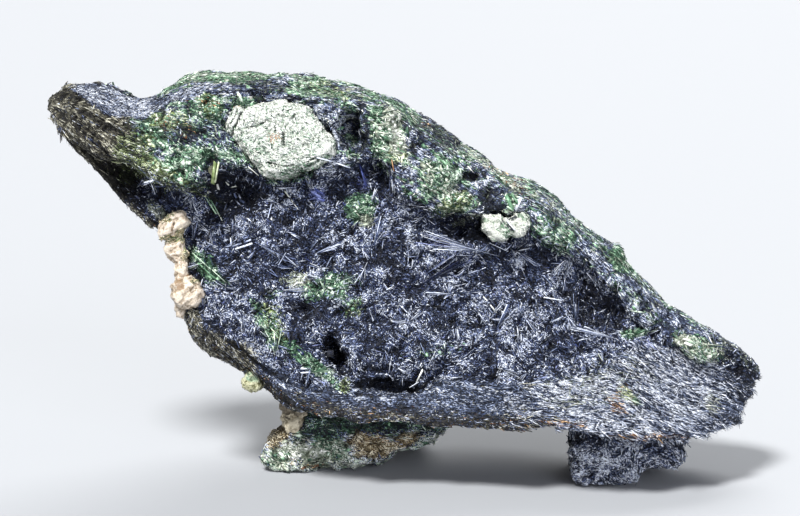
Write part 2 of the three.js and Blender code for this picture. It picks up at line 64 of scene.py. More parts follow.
# Edges of the rock's layers, as rows of x and v: the skyline, the crest layer's lower lip, the mica belt's
# lower edge, the top of the lower schist layer, the top of the bright scoop by the horn and the lower rim.
CREST = [
    (-50, 52.5), (-47.5, 55.5), (-42.5, 56), (-37.5, 54), (-33.5, 55), (-29.5, 57.5), (-17, 58), (-11, 57.5),
    (0, 53.5), (8.5, 47), (19.5, 41.5), (28, 34), (37, 25), (46, 19.5), (50, 15.5),
]
LIP = [
    (-50, 52), (-46, 55), (-43, 52.5), (-40, 50.5), (-35.5, 50.5), (-31, 52.5), (-24, 55), (-13, 53),
    (-4, 52.5), (0, 50), (7.5, 44), (11, 43.5), (29, 30), (39, 22.5), (50, 15),
]
BELT = [
    (-50, 52), (-44, 46), (-37.5, 44.5), (-30.5, 41), (-26, 43.5), (-22, 44.5), (-20, 43), (-9.5, 43),
    (-4, 46), (0.5, 39.5), (6, 37), (11, 37.5), (12, 34), (18, 35), (25.5, 30.5), (33, 22.5), (43.5, 18.5),
    (50, 15),
]
SHELF = [
    (-50, 52), (-44, 45), (-34.5, 36), (-31, 30), (-27.5, 22), (-19.5, 18), (-14.5, 13.5), (0.5, 13.5),
    (6, 14), (20, 14), (27, 15.5), (33, 19.5), (41, 18.5), (47, 14), (50, 14.5),
]
SCOOP_TOP = [
    (-50, 55), (-44.5, 56), (-40.5, 55.5), (-37, 53.5), (-33.5, 53), (-30, 54.5), (-26.5, 55.2), (-24.5, 54),
    (-17, 51), (50, 14),
]
KEEL = [
    (-50, 52), (-47, 47), (-39, 39), (-34, 34.5), (-31.5, 30), (-29, 18.5), (-22.5, 14.5), (-15.5, 10.5),
    (-6.5, 9), (6, 8), (24, 7.5), (40.5, 6.5), (46, 8), (50, 14.5),
]
# The lowest layer of the schist, which the others fan up from to the crest, as rows of x and v.
LOWEST_LAYER = [
    (-50, 51), (-47, 47), (-39, 39), (-34, 34), (-30, 26), (-25, 17.5), (-19, 12.5), (-14, 10.5), (-6.5, 9),
    (6, 8), (16, 6.5), (26, 2.5), (38, -4), (50, -10),
]
LAYERS_DEEP = 34  # the layers' total thickness where they are full


def edge(rows, x):
    """v of an edge at each x."""
    table = np.array(rows, float)
    return np.interp(x, table[:, 0], table[:, 1])


# ---- Frames, noise and meshes ------------------------------------------------------------------------------

SIN, COS = math.sin(LEAN), math.cos(LEAN)


def to_face(points):
    """Row-frame points in metres as (x, v, n) in millimetres."""
    return turn_to_face(points / MM - [0, FACE_Y, 0])


def to_row(points):
    """Face-frame points (x, v, n) in millimetres as row-frame points in metres."""
    return (turn_to_row(np.asarray(points, float)) + [0, FACE_Y, 0]) * MM


def turn_to_row(vectors):
    """Directions (x, v, n) in the face frame as directions in the row frame."""
    x, v, n = vectors.T
    return columns(x, v * SIN - n * COS, v * COS + n * SIN)


def turn_to_face(vectors):
    """Directions in the row frame as directions (x, v, n) in the face frame."""
    x, y, z = vectors.T
    return columns(x, y * SIN + z * COS, z * SIN - y * COS)


def columns(*parts):
    """Arrays side by side, as the columns of one."""
    return np.stack(parts, axis=1)


def lattice(i, j, k, seed):
    """A repeatable number from -1 to 1 for each whole-number place."""
    h = i * 374761393 + j * 668265263 + k * 1440662683 + seed * 974634777
    h = (h ^ (h >> 13)) & 0xFFFFFFFF
    h = (h * 1274126177) & 0xFFFFFFFF
    h = (h ^ (h >> 16)) & 0xFFFFFFFF
    return h / 2147483647.5 - 1


def noise(points, seed=0):
    """Smooth value noise from -1 to 1, one bump to a unit."""
    base = np.floor(points).astype(np.int64)
    f = points - base
    f = f * f * (3 - 2 * f)
    i, j, k = base.T
    a, b, c = f.T
    total = np.zeros(len(points))
    for di, dj, dk in np.ndindex(2, 2, 2):
        weight = (a if di else 1 - a) * (b if dj else 1 - b) * (c if dk else 1 - c)
        total += weight * lattice(i + di, j + dj, k + dk, seed)
    return total


def octave_mean(points, octaves, fall, seed, shape=lambda value: value):
    """The mean of a shape of noise over octaves, each finer than the last and lower by the share fall."""
    total, height, norm = np.zeros(len(points)), 1.0, 0.0
    for octave in range(octaves):
        total += height * shape(noise(points * 2**octave, seed + octave))
        norm += height
        height *= fall
    return total / norm


def fractal(points, octaves, seed=0):
    """Cloudy noise from about -1 to 1."""
    return octave_mean(points, octaves, 0.5, seed)


def ridges(points, octaves, seed=0):
    """Sharp-crested noise from 0 in the troughs to 1 on the crests."""
    folded = octave_mean(points, octaves, 0.55, seed, lambda value: (1 - np.abs(value) * 2).clip(-1, 1))
    return (folded + 1) / 2


def facets(points, seed=0):
    """Broken ground: a patchwork of flat faces, each with its own height and tilt, one face to a unit."""
    base = np.floor(points).astype(np.int64)
    nearest = np.full(len(points), 9.0)
    height = np.zeros(len(points))
    for di, dj, dk in np.ndindex(3, 3, 3):
        i, j, k = (base + [di - 1, dj - 1, dk - 1]).T
        jitter = columns(*(lattice(i, j, k, seed + n) for n in range(3)))
        away = points - columns(i, j, k) - 0.5 - 0.45 * jitter
        distance = np.linalg.norm(away, axis=1)
        slope = columns(*(lattice(i, j, k, seed + n) for n in range(3, 6)))
        here = 0.5 * lattice(i, j, k, seed + 6) + (away * slope).sum(axis=1)
        height = np.where(distance < nearest, here, height)
        nearest = np.minimum(nearest, distance)
    return height


def step(low, high, value):
    """0 below low, 1 above high and smooth between."""
    t = np.clip((value - low) / (high - low), 0, 1)
    return t * t * (3 - 2 * t)


def unit(vectors):
    return vectors / np.maximum(np.linalg.norm(vectors, axis=1, keepdims=True), 1e-12)


def square_to(axes, vectors):
    """Directions of vectors turned square to axes."""
    return unit(vectors - (vectors * axes).sum(1, keepdims=True) * axes)


def positions(mesh, field="co"):
    """The place of each vertex, or its normal."""
    out = np.empty(len(mesh.vertices) * 3, np.float32)
    mesh.vertices.foreach_get(field, out)
    return out.reshape(-1, 3).astype(float)


def set_positions(mesh, co):
    mesh.vertices.foreach_set("co", co.astype(np.float32).ravel())
    mesh.update()


def normals(mesh):
    return positions(mesh, "normal")


def triangles(mesh):
    mesh.calc_loop_triangles()
    out = np.empty(len(mesh.loop_triangles) * 3, np.int32)
    mesh.loop_triangles.foreach_get("vertices", out)
    return out.reshape(-1, 3)


def set_attribute(mesh, name, values, kind="FLOAT"):
    """A number or vector for each vertex, which materials read by name."""
    layer = mesh.attributes.new(name, kind, "POINT")
    field = "value" if kind == "FLOAT" else "vector"
    layer.data.foreach_set(field, np.asarray(values, np.float32).ravel())


def link(name, mesh):
    obj = bpy.data.objects.new(name, mesh)
    bpy.context.scene.collection.objects.link(obj)
    return obj


def applied(obj):
    """The object's mesh with its modifiers applied, in place of its old one."""
    graph = bpy.context.evaluated_depsgraph_get()
    made = bpy.data.meshes.new_from_object(obj.evaluated_get(graph))
    obj.modifiers.clear()
    obj.data = made
    return made


def remeshed(name, node, voxel):
    """A copy of a CAD node's solid as an even fine mesh."""
    obj = link(name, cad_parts[node].data.copy())
    obj.data.materials.clear()
    weld = obj.modifiers.new("weld", "WELD")
    weld.merge_threshold = 1e-6
    fine = obj.modifiers.new("fine", "REMESH")
    fine.mode = "VOXEL"
    fine.voxel_size = voxel
    fine.use_smooth_shade = True
    applied(obj)
    return obj


def smoothed(mesh, co, rounds, share=0.5):
    """Vertex places averaged with their neighbours' a few times."""
    pairs = np.empty(len(mesh.edges) * 2, np.int32)
    mesh.edges.foreach_get("vertices", pairs)
    a, b = pairs.reshape(-1, 2).T
    count = np.bincount(a, minlength=len(co)) + np.bincount(b, minlength=len(co))
    for _ in range(rounds):
        total = np.zeros_like(co)
        for axis in range(co.shape[1]):
            total[:, axis] += np.bincount(a, co[b, axis], len(co)) + np.bincount(b, co[a, axis], len(co))
        co = co + share * (total / count[:, None] - co)
    return co


# ---- Zones of the rock -------------------------------------------------------------------------------------


def patch(p, x, v, rx, rv, turn=0, soft=0.35):
    """1 inside an ellipse of the face and 0 outside, with a soft ragged edge."""
    a = math.radians(turn)
    dx, dv = p[:, 0] - x, p[:, 1] - v
    along = (dx * math.cos(a) + dv * math.sin(a)) / rx
    across = (dv * math.cos(a) - dx * math.sin(a)) / rv
    ragged = 0.26 * noise(p / 1.4, 5) + 0.18 * noise(p / 0.6, 8)
    return 1 - step(1 - soft, 1 + soft, np.hypot(along, across) + ragged)


def patched(p, rows):
    """The strongest of several patches at each point."""
    out = np.zeros(len(p))
    for x, v, rx, rv, turn, strength in rows:
        out = np.maximum(out, strength * patch(p, x, v, rx, rv, turn))
    return out


def in_view(p):
    """1 on the front of the rock and 0 on its back, with a border that wanders over the top and ends."""
    return step(-9, -4, p[:, 2] + 4 * fractal(p / 9, 3, seed=13))


def zones(p):
    """Shares from 0 to 1 of each kind of rock at points (x, v, n) of the face frame."""
    x, v, n = p.T
    w = v + 0.7 * fractal(p / 3.0, 3, seed=3) + 0.35 * fractal(p / 0.7, 2, seed=7)
    crest, lip, belt = edge(CREST, x), edge(LIP, x), edge(BELT, x)
    shelf, keel = edge(SHELF, x), edge(KEEL, x)
    front = in_view(p)
    above_lip = step(-0.5, 0.5, w - lip)
    above_belt = step(-0.4, 0.4, w - belt)
    above_shelf = step(-0.5, 0.5, w - shelf)
    left_foot = step(9.5, 8.0, x) * step(-22, -20, x) * step(-0.5, -2.5, n) * step(0.5, -1.0, v - keel)
    right_foot = step(21, 23, x) * step(0.4, -0.5, v - keel) * step(6.5, 5.0, n)
    foot = np.maximum(left_foot, right_foot)
    horn = step(-33.5, -38.5, x - 0.25 * (v - 50)) * front * (1 - foot)
    scoop = above_lip * step(-46.5, -44.5, x) * step(0.25, -0.25, w - edge(SCOOP_TOP, x)) * front
    rest = (1 - foot) * front
    made = {
        "left_foot": left_foot,
        "right_foot": right_foot,
        "scoop": scoop,
        "horn": horn * (1 - scoop),
        "crest": rest * above_lip * (1 - scoop) * (1 - horn),
        "belt": rest * above_belt * (1 - above_lip) * (1 - horn),
        "face": rest * above_shelf * (1 - above_belt) * (1 - horn),
        "shelf": rest * (1 - above_shelf) * (1 - horn),
        "back": (1 - front) * (1 - foot),
    }
    made["tip"] = step(42.5, 44.5, x + 0.1 * (v - 16)) * (1 - foot)
    return made


def layer_share(x, v):
    """How far up a point lies from the lowest layer, 0, to the crest, 1."""
    low, crest = edge(LOWEST_LAYER, x), edge(CREST, x)
    return np.clip((v - low) / np.maximum(crest - low, 1), -0.4, 1.2)


def flow(p):
    """Unit direction (x, v, n) of the rock's layers at points of the face."""
    x, v, _ = p.T
    share = layer_share(x, v)
    reach = 2.5
    rise = [(edge(rows, x + reach) - edge(rows, x - reach)) / (2 * reach) for rows in (LOWEST_LAYER, CREST)]
    slope = np.clip(rise[0] * (1 - share) + rise[1] * share, -1.4, 0.6)
    return unit(columns(np.ones_like(x), slope, np.zeros_like(x)))


def layer_place(p):
    """How far up through the rock's layers a point is, in millimetres."""
    x, v, n = p.T
    return LAYERS_DEEP * layer_share(x, v) + 0.12 * n


# ---- The rock's body ---------------------------------------------------------------------------------------


def ledges(p, thickness, seed):
    """Layers that each stand out or in by -1 to 1, changing slowly along the layer."""
    place = layer_place(p) / thickness + 0.7 * noise(p / [11, 5, 9], seed)
    low = np.floor(place)
    share = step(0.35, 0.65, place - low)
    below, above = (
        noise(columns(p[:, 0] / 5 + 5.3 * layer, 7.7 * layer, p[:, 2] / 9), seed + 1)
        for layer in (low, low + 1)
    )
    return 1.5 * (below * (1 - share) + above * share)


SKYLINE_DROP = 0.2  # how far the skyline is held in, for the grains that stand on it
RIM_DROP = 0.35  # the same for the lower left rim
# Ground that is raised or sunk, as patches: x, v, half sizes, turn and height. Nothing grows where it is
# bare.
RAISED = [(-20.8, 53.6, 4, 1.2, 0, 1.3)]
SUNK = [
    (-26.1, 42.4, 1.1, 2.4, -5, 0.9), (-48.7, 55.3, 1.4, 1.2, 20, 0.8), (-26, 57.7, 1.5, 0.9, 0, 0.6),
    (-9.3, 17.8, 1.2, 2.6, 28, 1.1), (-2.4, 13.6, 4.8, 0.8, -3, 1.0), (9.4, 42.4, 1.2, 0.7, -10, 0.7),
]
BARE = [(-26.1, 42.4, 1.1, 2.4, -5, 1.0)]


def relief(p, z):
    """How far the rock's surface stands out of the smooth solid, in millimetres."""
    layered = z["crest"] + z["belt"] * 0.6 + z["shelf"] + z["horn"] + z["back"] + 0.3 * z["face"]
    layered = np.clip(layered + 0.3 * z["left_foot"] + 0.4 * z["right_foot"], 0, 1.2) * (1 - 0.6 * z["scoop"])
    broken = np.clip(z["face"] + z["belt"] + z["left_foot"] + z["right_foot"] + 0.5 * z["back"], 0, 1)
    place = layer_place(p)
    along = columns(p[:, 0] / 7, place / 0.8, p[:, 2] / 5)
    plates = columns(p[:, 0] / 5.5, place / 1.7, p[:, 2] / 3)
    even = z["shelf"] * step(10, 24, p[:, 0])
    out = 0.4 * layered * (1 - 0.6 * even) * ledges(p, 1.6, 21) + 0.35 * z["back"] * ledges(p, 3.4, 23)
    out += 0.4 * layered * facets(plates, 27)
    out += 0.3 * layered * (ridges(along, 2, 31) - 0.5)
    out += 0.5 * (1 - 0.5 * z["scoop"]) * fractal(p / 3.6, 3, seed=51)
    out += 0.55 * broken * facets(p / 2.3, 57)
    out += 0.3 * broken * facets(p / 1.2, 67)
    out += 0.16 * fractal(p / 0.9, 2, seed=71)
    out -= SKYLINE_DROP * step(-5, -1, p[:, 1] - edge(CREST, p[:, 0]))
    out -= RIM_DROP * step(2.5, 0.5, p[:, 1] - edge(KEEL, p[:, 0])) * step(-14, -18, p[:, 0])
    return out + patched(p, RAISED) - patched(p, SUNK) * step(-13, -10, p[:, 2])


def make_rock():
    obj = remeshed("schist_body", "glaucophane_schist", ROCK_VOXEL)
    mesh = obj.data
    co = smoothed(mesh, positions(mesh), 3)
    set_positions(mesh, co)
    p = to_face(co)
    out = relief(p, zones(p))
    co = co + normals(mesh) * (out * MM)[:, None]
    co[:, 2] = np.maximum(co[:, 2], 0.0)
    set_positions(mesh, co)
    # Painted light and shade: each point's height over its surroundings, lighter on lumps and darker in
    # crannies.
    around = smoothed(mesh, out[:, None], 14)[:, 0]
    return obj, np.clip(0.5 + 1.6 * (out - around), 0, 1)


rock, painted_light_openness = make_rock()


# ---- Crystals set in the rock ------------------------------------------------------------------------------

# Cracks across the crystals: how wide, then places x and v along each.
CRACKS = [
    (0.32, [(-21.5, 52), (-22.1, 50.6), (-22.8, 49.2), (-23.7, 47.2)]),
    (0.2, [(-23.2, 51.5), (-23.8, 50.4), (-24.5, 49.6)]),
    (0.2, [(-22.5, 51.4), (-23.2, 49.9), (-23.9, 48.8)]),
    (0.24, [(-22.8, 48.6), (-20.3, 49), (-18.8, 49.7)]),
    (0.22, [(-14.8, 50.6), (-16, 49)]),
    (0.18, [(-17.1, 50.8), (-17.4, 48.2)]),
    (0.34, [(-16.3, 48.2), (-16.2, 46.3)]),
    (0.26, [(-18.4, 44.2), (-16.2, 43.6), (-13.8, 44), (-11.6, 44.8)]),
    (0.24, [(-14.4, 42.6), (-13, 43.4), (-11.4, 44.3)]),
    (0.24, [(13.8, 36.4), (14.8, 35.2), (15.2, 34.6), (15.3, 33.4)]),
    (0.12, [(-31.4, 36), (-31.7, 34.8)]),
    (0.2, [(-16.6, 8.6), (-15.4, 8.2), (-13.6, 8.8)]),
]
# Marks on the crystals, as patches: x, v, half sizes, turn and strength.
CRYSTAL_MARKS = {
    "stain": [
        (-17.7, 47.6, 1.2, 0.8, 15, 0.5), (-30.7, 27.3, 0.5, 0.9, 25, 1.0),
        (-31.7, 35.4, 0.2, 0.8, -15, 0.9), (-34.1, 35.8, 0.5, 0.4, 0, 0.9), (-29.8, 28.6, 0.2, 0.2, 0, 1.0),
        (-31, 30.8, 0.5, 1.2, 20, 0.4), (-22.5, 52, 1.2, 0.3, 10, 0.4), (-15.2, 9.9, 2.4, 1.1, 0, 1.0),
    ],
    "leaf": [
        (-13.4, 43, 3.4, 1.1, 12, 0.9), (-10.8, 44.8, 1.2, 0.5, 15, 0.8), (-20, 46, 2.6, 1.2, -40, 0.5),
        (-33, 36.8, 1.7, 0.6, 18, 0.5), (-32.4, 36.3, 0.5, 0.3, 0, 0.9), (-32.2, 33.7, 1.8, 0.5, 5, 0.95),
        (-30.8, 34.3, 0.5, 0.8, 0, 0.7), (-30.2, 31.4, 0.5, 0.6, 0, 0.5), (-28.7, 27.9, 0.5, 0.4, 0, 0.7),
        (14.2, 34.7, 1.5, 0.7, -62, 1.0), (16.1, 37, 0.4, 0.35, 0, 1.0), (17, 36.8, 0.8, 0.6, 0, 0.6),
        (-20.9, 15, 1.7, 1.1, 0, 1.0), (11.4, 36.3, 0.7, 0.4, 0, 0.6), (12.6, 36.1, 1, 0.3, 0, 0.4),
    ],
    "light": [
        (-10.7, 46.2, 1.3, 1, -30, 1.0), (-20, 47.2, 1.6, 1, 0, 0.55), (-20.5, 50.6, 1.4, 0.8, 10, 0.5),
        (-31.2, 37.1, 0.6, 0.5, 0, 0.9), (-30.8, 35.6, 1.4, 0.7, 25, 0.7), (-33.2, 34.5, 0.7, 0.7, 0, 0.9),
        (-15.5, 7.6, 1, 1, 0, 0.9), (-32.6, 31.7, 0.6, 0.8, 0, 0.7), (-30, 29.4, 0.6, 0.9, 20, 0.6),
        (-29.4, 25.4, 1.2, 1, 0, 0.4), (12.7, 34.6, 1.2, 1, -40, 0.7), (16.4, 34.8, 1, 1.1, 0, 0.6),
    ],
    "pit": [
        (14.9, 36.8, 0.7, 0.5, -10, 1.0), (-17.4, 43.6, 1, 0.35, -10, 0.6),
    ],
}


def cut(p):
    """1 in the middle of the cracks, falling to 0 at their edges."""
    depth = np.zeros(len(p))
    wander = p[:, :2] + 0.2 * columns(fractal(p / 0.9, 2, seed=5), fractal(p / 0.9, 2, seed=6))
    for width, line in CRACKS:
        for start, end in zip(line[:-1], line[1:]):
            start, along = np.array(start), np.subtract(end, start)
            share = np.clip((wander - start) @ along / (along @ along), 0, 1)
            away = np.linalg.norm(wander - start - share[:, None] * along, axis=1)
            depth = np.maximum(depth, 1 - away / width)
    return depth


def terraces(p, height, seed):
    """Cleavage steps from -0.5 to 0.5 that run up and to the right across a crystal."""
    place = (p[:, 1] - 0.5 * p[:, 0]) / height + 1.2 * noise(p / 3.5, seed)
    low = np.floor(place)
    fall = step(0.7, 1.0, place - low)
    below, above = (lattice(low.astype(np.int64) + k, low.astype(np.int64) * 0, seed, 1) for k in (0, 1))
    return 0.5 * (below * (1 - fall) + above * fall)


def crystal(name, node, rounds, swell, coarse, fine, size, seed):
    """A set-in crystal: its solid remeshed, rounded, swollen or shrunk a little and broken by cleavage."""
    obj = remeshed(name, node, CRYSTAL_VOXEL)
    mesh = obj.data
    co = smoothed(mesh, positions(mesh), rounds)
    set_positions(mesh, co)
    p = to_face(co)
    outward = normals(mesh)
    side = step(0.9, 0.5, turn_to_face(outward)[:, 2])
    front = step(-3, 1, p[:, 2] - p[:, 2].max() + 6)
    out = swell + coarse * (0.5 + 0.7 * side) * facets(p / size, seed)
    out += 0.8 * coarse * terraces(p, size / 2, seed)
    out += 0.4 * coarse * facets(p / (0.4 * size), seed + 20)
    out += fine * (ridges(p / [1.3, 0.5, 0.9], 2, seed=seed + 40) - 0.5)
    marks = {mark: patched(p, rows) * front for mark, rows in CRYSTAL_MARKS.items()}
    marks["crack"] = cut(p) * front * step(-0.6, 0.2, fractal(p / 1.1, 2, seed=9))
    out -= 0.4 * marks["crack"].clip(0, 1) + 0.2 * marks["pit"] + 0.25 * marks["leaf"]
    co = co + outward * (out * MM)[:, None]
    set_positions(mesh, co)
    # How far each point stands out from its neighbours, for painted shade in crevices and painted highlights
    # on edges.
    bulge = ((co - smoothed(mesh, co, 6)) * outward).sum(axis=1) / MM
    set_attribute(mesh, "open", np.clip(0.5 + 7 * bulge, 0, 1))
    for mark, values in marks.items():
        set_attribute(mesh, mark, values)
    return obj


# Each crystal: its CAD node, material slot, then how many times it is rounded, how far it swells, its coarse
# and fine relief, the size of its cleavage faces in millimetres and a seed.
CRYSTALS = {
    "pale_crystal": ("pale_green_crystal", "pale_green", (1, -0.1, 0.2, 0.2, 2.2, 301)),
    "cream_pair": ("cream_crystal_pair", "cream", (1, -0.02, 0.1, 0.1, 1.4, 321)),
    "calcite_growth": ("calcite_vein", "calcite", (1, 0.0, 0.28, 0.12, 1.5, 341)),
    "rim_knob": ("calcite_rim_knob", "yellow_calcite", (2, 0.06, 0.24, 0.18, 1.2, 361)),
    "foot_block": ("calcite_foot_block", "grey_calcite", (3, 0.08, 0.34, 0.2, 1.3, 381)),
    "spear": ("spear_crystal", "olive", (1, 0.06, 0.05, 0.06, 1.0, 401)),
}

crystals = {}
for name, (node, slot, how) in CRYSTALS.items():
    crystals[name] = crystal(name, node, *how)
    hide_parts(node)
    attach(crystals[name], ROOT)


# ---- Growth: needles, laths and flakes as joined meshes ----------------------------------------------------


def in_front(tree, x, v):
    """The points, normals and triangles where rays from the front meet a ray tree at places x and v."""
    start = to_row(columns(x, v, np.full(len(x), RAY_START)))
    hits = [tree.ray_cast(Vector(place), Vector((0, COS, -SIN)))[:3] for place in start]
    return [np.array(part) for part in zip(*hits)]


class Ground:
    """A surface, as places where small crystals can grow. Its painted light share is 1 on lumps, which it
    paints lighter, and 0 in crannies, which it paints in shade.
    """

    def __init__(self, mesh, painted_light_share):
        co = positions(mesh)
        self.normals = unit(smoothed(mesh, normals(mesh), 4))
        self.faces = triangles(mesh)
        self.corners = co[self.faces]
        a, b, c = self.corners.transpose(1, 0, 2)
        self.areas = np.linalg.norm(np.cross(b - a, c - a), axis=1) / 2
        self.middles = to_face(self.corners.mean(axis=1))
        self.zones = zones(self.middles)
        self.open = painted_light_share[self.faces].mean(axis=1)
        self.clear = (self.corners[:, :, 2].min(axis=1) > SOLE_CLEAR) * (1 - patched(self.middles, BARE))
        self.tree = BVHTree.FromPolygons(co.tolist(), self.faces.tolist())

    def zones_at(self, faces):
        return {zone: share[faces] for zone, share in self.zones.items()}

    def places(self, rng, count, density):
        """count random points by density, with their normals, both in the row frame, and their triangles."""
        weight = self.areas * density * self.clear
        faces = rng.choice(len(weight), count, p=weight / weight.sum())
        u, v = rng.random((2, count))
        flip = u + v > 1
        u, v = np.where(flip, 1 - u, u), np.where(flip, 1 - v, v)
        share = columns(1 - u - v, u, v)[:, :, None]
        point = (self.corners[faces] * share).sum(axis=1)
        a, b, c = self.corners[faces].transpose(1, 0, 2)
        flat = unit(np.cross(b - a, c - a))
        normal = unit((self.normals[self.faces[faces]] * share).sum(axis=1) + flat * 0.8)
        return point, normal, faces

    def under(self, x, v):
        """The same for the front of the surface at places x and v of its face."""
        point, _, faces = in_front(self.tree, x, v)
        return point, unit(self.normals[self.faces[faces]].mean(axis=1)), faces


def mesh_of(name, co, loops, starts):
    """A mesh from flat arrays of corners and of each face's first corner."""
    mesh = bpy.data.meshes.new(name)
    mesh.vertices.add(len(co))
    mesh.vertices.foreach_set("co", co.astype(np.float32).ravel())
    mesh.loops.add(len(loops))
    mesh.loops.foreach_set("vertex_index", loops.astype(np.int32))
    mesh.polygons.add(len(starts))
    mesh.polygons.foreach_set("loop_start", starts.astype(np.int32))
    mesh.update(calc_edges=True)
    mesh.validate()
    return mesh


def joined(name, corners, faces):
    """One mesh of many small closed solids that share the same faces. Corners: (count, corners each, 3)."""
    count, each, _ = corners.shape
    one = np.concatenate([list(face) for face in faces])
    first = np.cumsum([0] + [len(face) for face in faces[:-1]])
    loops = (one[None, :] + each * np.arange(count)[:, None]).ravel()
    starts = (first[None, :] + len(one) * np.arange(count)[:, None]).ravel()
    co = corners.reshape(-1, 3)
    co[:, 2] = np.maximum(co[:, 2], 0)
    mesh = mesh_of(name, co, loops, starts)
    mesh["corners_each"] = each
    return mesh


def set_each(mesh, name, values):
    """A number for each small solid of a joined mesh."""
    set_attribute(mesh, name, np.repeat(values, mesh["corners_each"]))


def across(direction, normal, rng):
    """Two directions square to each needle, rolled a little about it."""
    up = square_to(direction, normal)
    side = np.cross(up, direction)
    roll = rng.normal(0, 0.5, len(direction))[:, None]
    return side * np.cos(roll) + up * np.sin(roll), up * np.cos(roll) - side * np.sin(roll)


def prisms(name, middle, direction, normal, length, width, thickness, rng, sides=4, taper=0.8):
    """Long needles: prisms in one mesh, each with its own size, roll and cut ends."""
    count = len(middle)
    side, up = across(direction, normal, rng)
    turns = np.arange(sides) * 2 * math.pi / sides
    ring = side[:, None] * np.cos(turns)[None, :, None] * (width / 2)[:, None, None]
    ring = ring + up[:, None] * np.sin(turns)[None, :, None] * (thickness / 2)[:, None, None]
    ends = []
    for sign in (-1, 1):
        keep = rng.uniform(taper - 0.25, taper + 0.2, count)[:, None, None].clip(0.15, 1)
        slant = rng.normal(0, 0.5, count)[:, None] * np.cos(turns)[None, :] * (width / 2)[:, None]
        along = direction[:, None] * (sign * (length / 2)[:, None] + slant)[:, :, None]
        ends.append(middle[:, None] + along + ring * keep)
    walls = [(i, (i + 1) % sides, (i + 1) % sides + sides, i + sides) for i in range(sides)]
    caps = [range(sides)[::-1], range(sides, 2 * sides)]
    return joined(name, np.concatenate(ends, axis=1), walls + caps)


def slivers(name, middle, direction, normal, length, width, thickness, rng):
    """Short grains: long four-sided solids in one mesh, each flat at one end and upright at the other."""
    side, up = across(direction, normal, rng)
    reach = direction * (length / 2)[:, None]
    side, up = side * (width / 2)[:, None], up * (thickness / 2)[:, None]
    corners = [middle - reach - side, middle - reach + side, middle + reach - up, middle + reach + up]
    return joined(name, np.stack(corners, axis=1), [(0, 1, 2), (1, 0, 3), (2, 3, 0), (3, 2, 1)])


def flakes(name, middle, direction, normal, length, width, thickness, rng, sides=5):
    """Mica: low domes in one mesh, each a ragged flat ring with one high corner."""
    count = len(middle)
    side = unit(np.cross(normal, direction))
    direction = np.cross(side, normal)
    turns = np.arange(sides) * 2 * math.pi / sides
    reach = rng.uniform(0.6, 1.2, (count, sides))
    ring = direction[:, None] * (np.cos(turns) * reach)[:, :, None] * (length / 2)[:, None, None]
    ring = ring + side[:, None] * (np.sin(turns) * reach)[:, :, None] * (width / 2)[:, None, None]
    top = middle + normal * thickness[:, None] + direction * (rng.uniform(-0.3, 0.3, count) * length)[:, None]
    slopes = [(i, (i + 1) % sides, sides) for i in range(sides)]
    corners = np.concatenate([middle[:, None] + ring, top[:, None]], axis=1)
    return joined(name, corners, [range(sides)[::-1]] + slopes)


def spread(rng, count, low, middle, high):
    """Sizes in metres whose middle value is common and whose large ones are rare."""
    return np.clip(middle * np.exp(rng.normal(0, 0.55, count)), low, high) * MM


def headings(p, rng, normal, along_flow, fan):
    """Directions in the surface: along the layers by a share, and elsewhere in local sheaves or at random."""
    line = turn_to_row(flow(p))
    line = square_to(normal, line)
    side = np.cross(normal, line)
    count = len(p)
    layered = rng.random(count) < along_flow
    sheaf = math.pi * 1.5 * fractal(p / 4.5, 2, seed=91)
    loose = rng.random(count) < 0.3
    angle = np.where(layered, 0, np.where(loose, rng.uniform(-math.pi, math.pi, count), sheaf))
    angle = angle + np.radians(fan) * rng.normal(0, 1, count)
    return line * np.cos(angle)[:, None] + side * np.sin(angle)[:, None]


def tilted(direction, normal, rng, degrees):
    """Directions raised out of the surface by random amounts."""
    rise = np.abs(rng.normal(0, np.radians(degrees), len(direction)))[:, None]
    return unit(direction * np.cos(rise) + normal * np.sin(rise))


# Sets of fine grains: how many, their zones, their least, usual and greatest length and width in
# millimetres, thickness over width, the share that lies along the layers, how far they fan and rise in
# degrees, and how far out of the surface they lie.
GROWTH = {
    "needles_fine": dict(
        count=48000, grows_on={"face": 1.0, "belt": 0.25, "right_foot": 1.5, "tip": 0.8},
        length=(0.18, 0.42, 1.4), width=(0.07, 0.12, 0.19), flat=0.85, along=0.1, fan=14, rise=14, lift=0.08,
    ),
    "needles_felt": dict(
        count=25000, grows_on={"face": 1.0, "right_foot": 1.2, "tip": 0.5}, length=(0.12, 0.27, 0.7),
        width=(0.07, 0.115, 0.18), flat=0.9, along=0.0, fan=40, rise=30, lift=0.1,
    ),
    "laths_shelf": dict(
        count=47000, grows_on={"shelf": 1.0, "scoop": 1.0}, length=(0.3, 0.8, 2.0), width=(0.05, 0.095, 0.16),
        flat=0.7, along=0.86, fan=11, rise=24, lift=0.05,
    ),
    "laths_crest": dict(
        count=42000, grows_on={"crest": 1.3, "belt": 0.8, "horn": 1.4, "left_foot": 0.9},
        length=(0.3, 0.65, 1.4), width=(0.07, 0.125, 0.2), flat=0.5, along=0.95, fan=7, rise=1.5, lift=0.01,
    ),
    "laths_back": dict(
        count=12000, grows_on={"back": 1.0}, length=(0.4, 0.9, 1.7), width=(0.1, 0.2, 0.36), flat=0.5,
        along=0.9, fan=10, rise=3, lift=0.03,
    ),
}


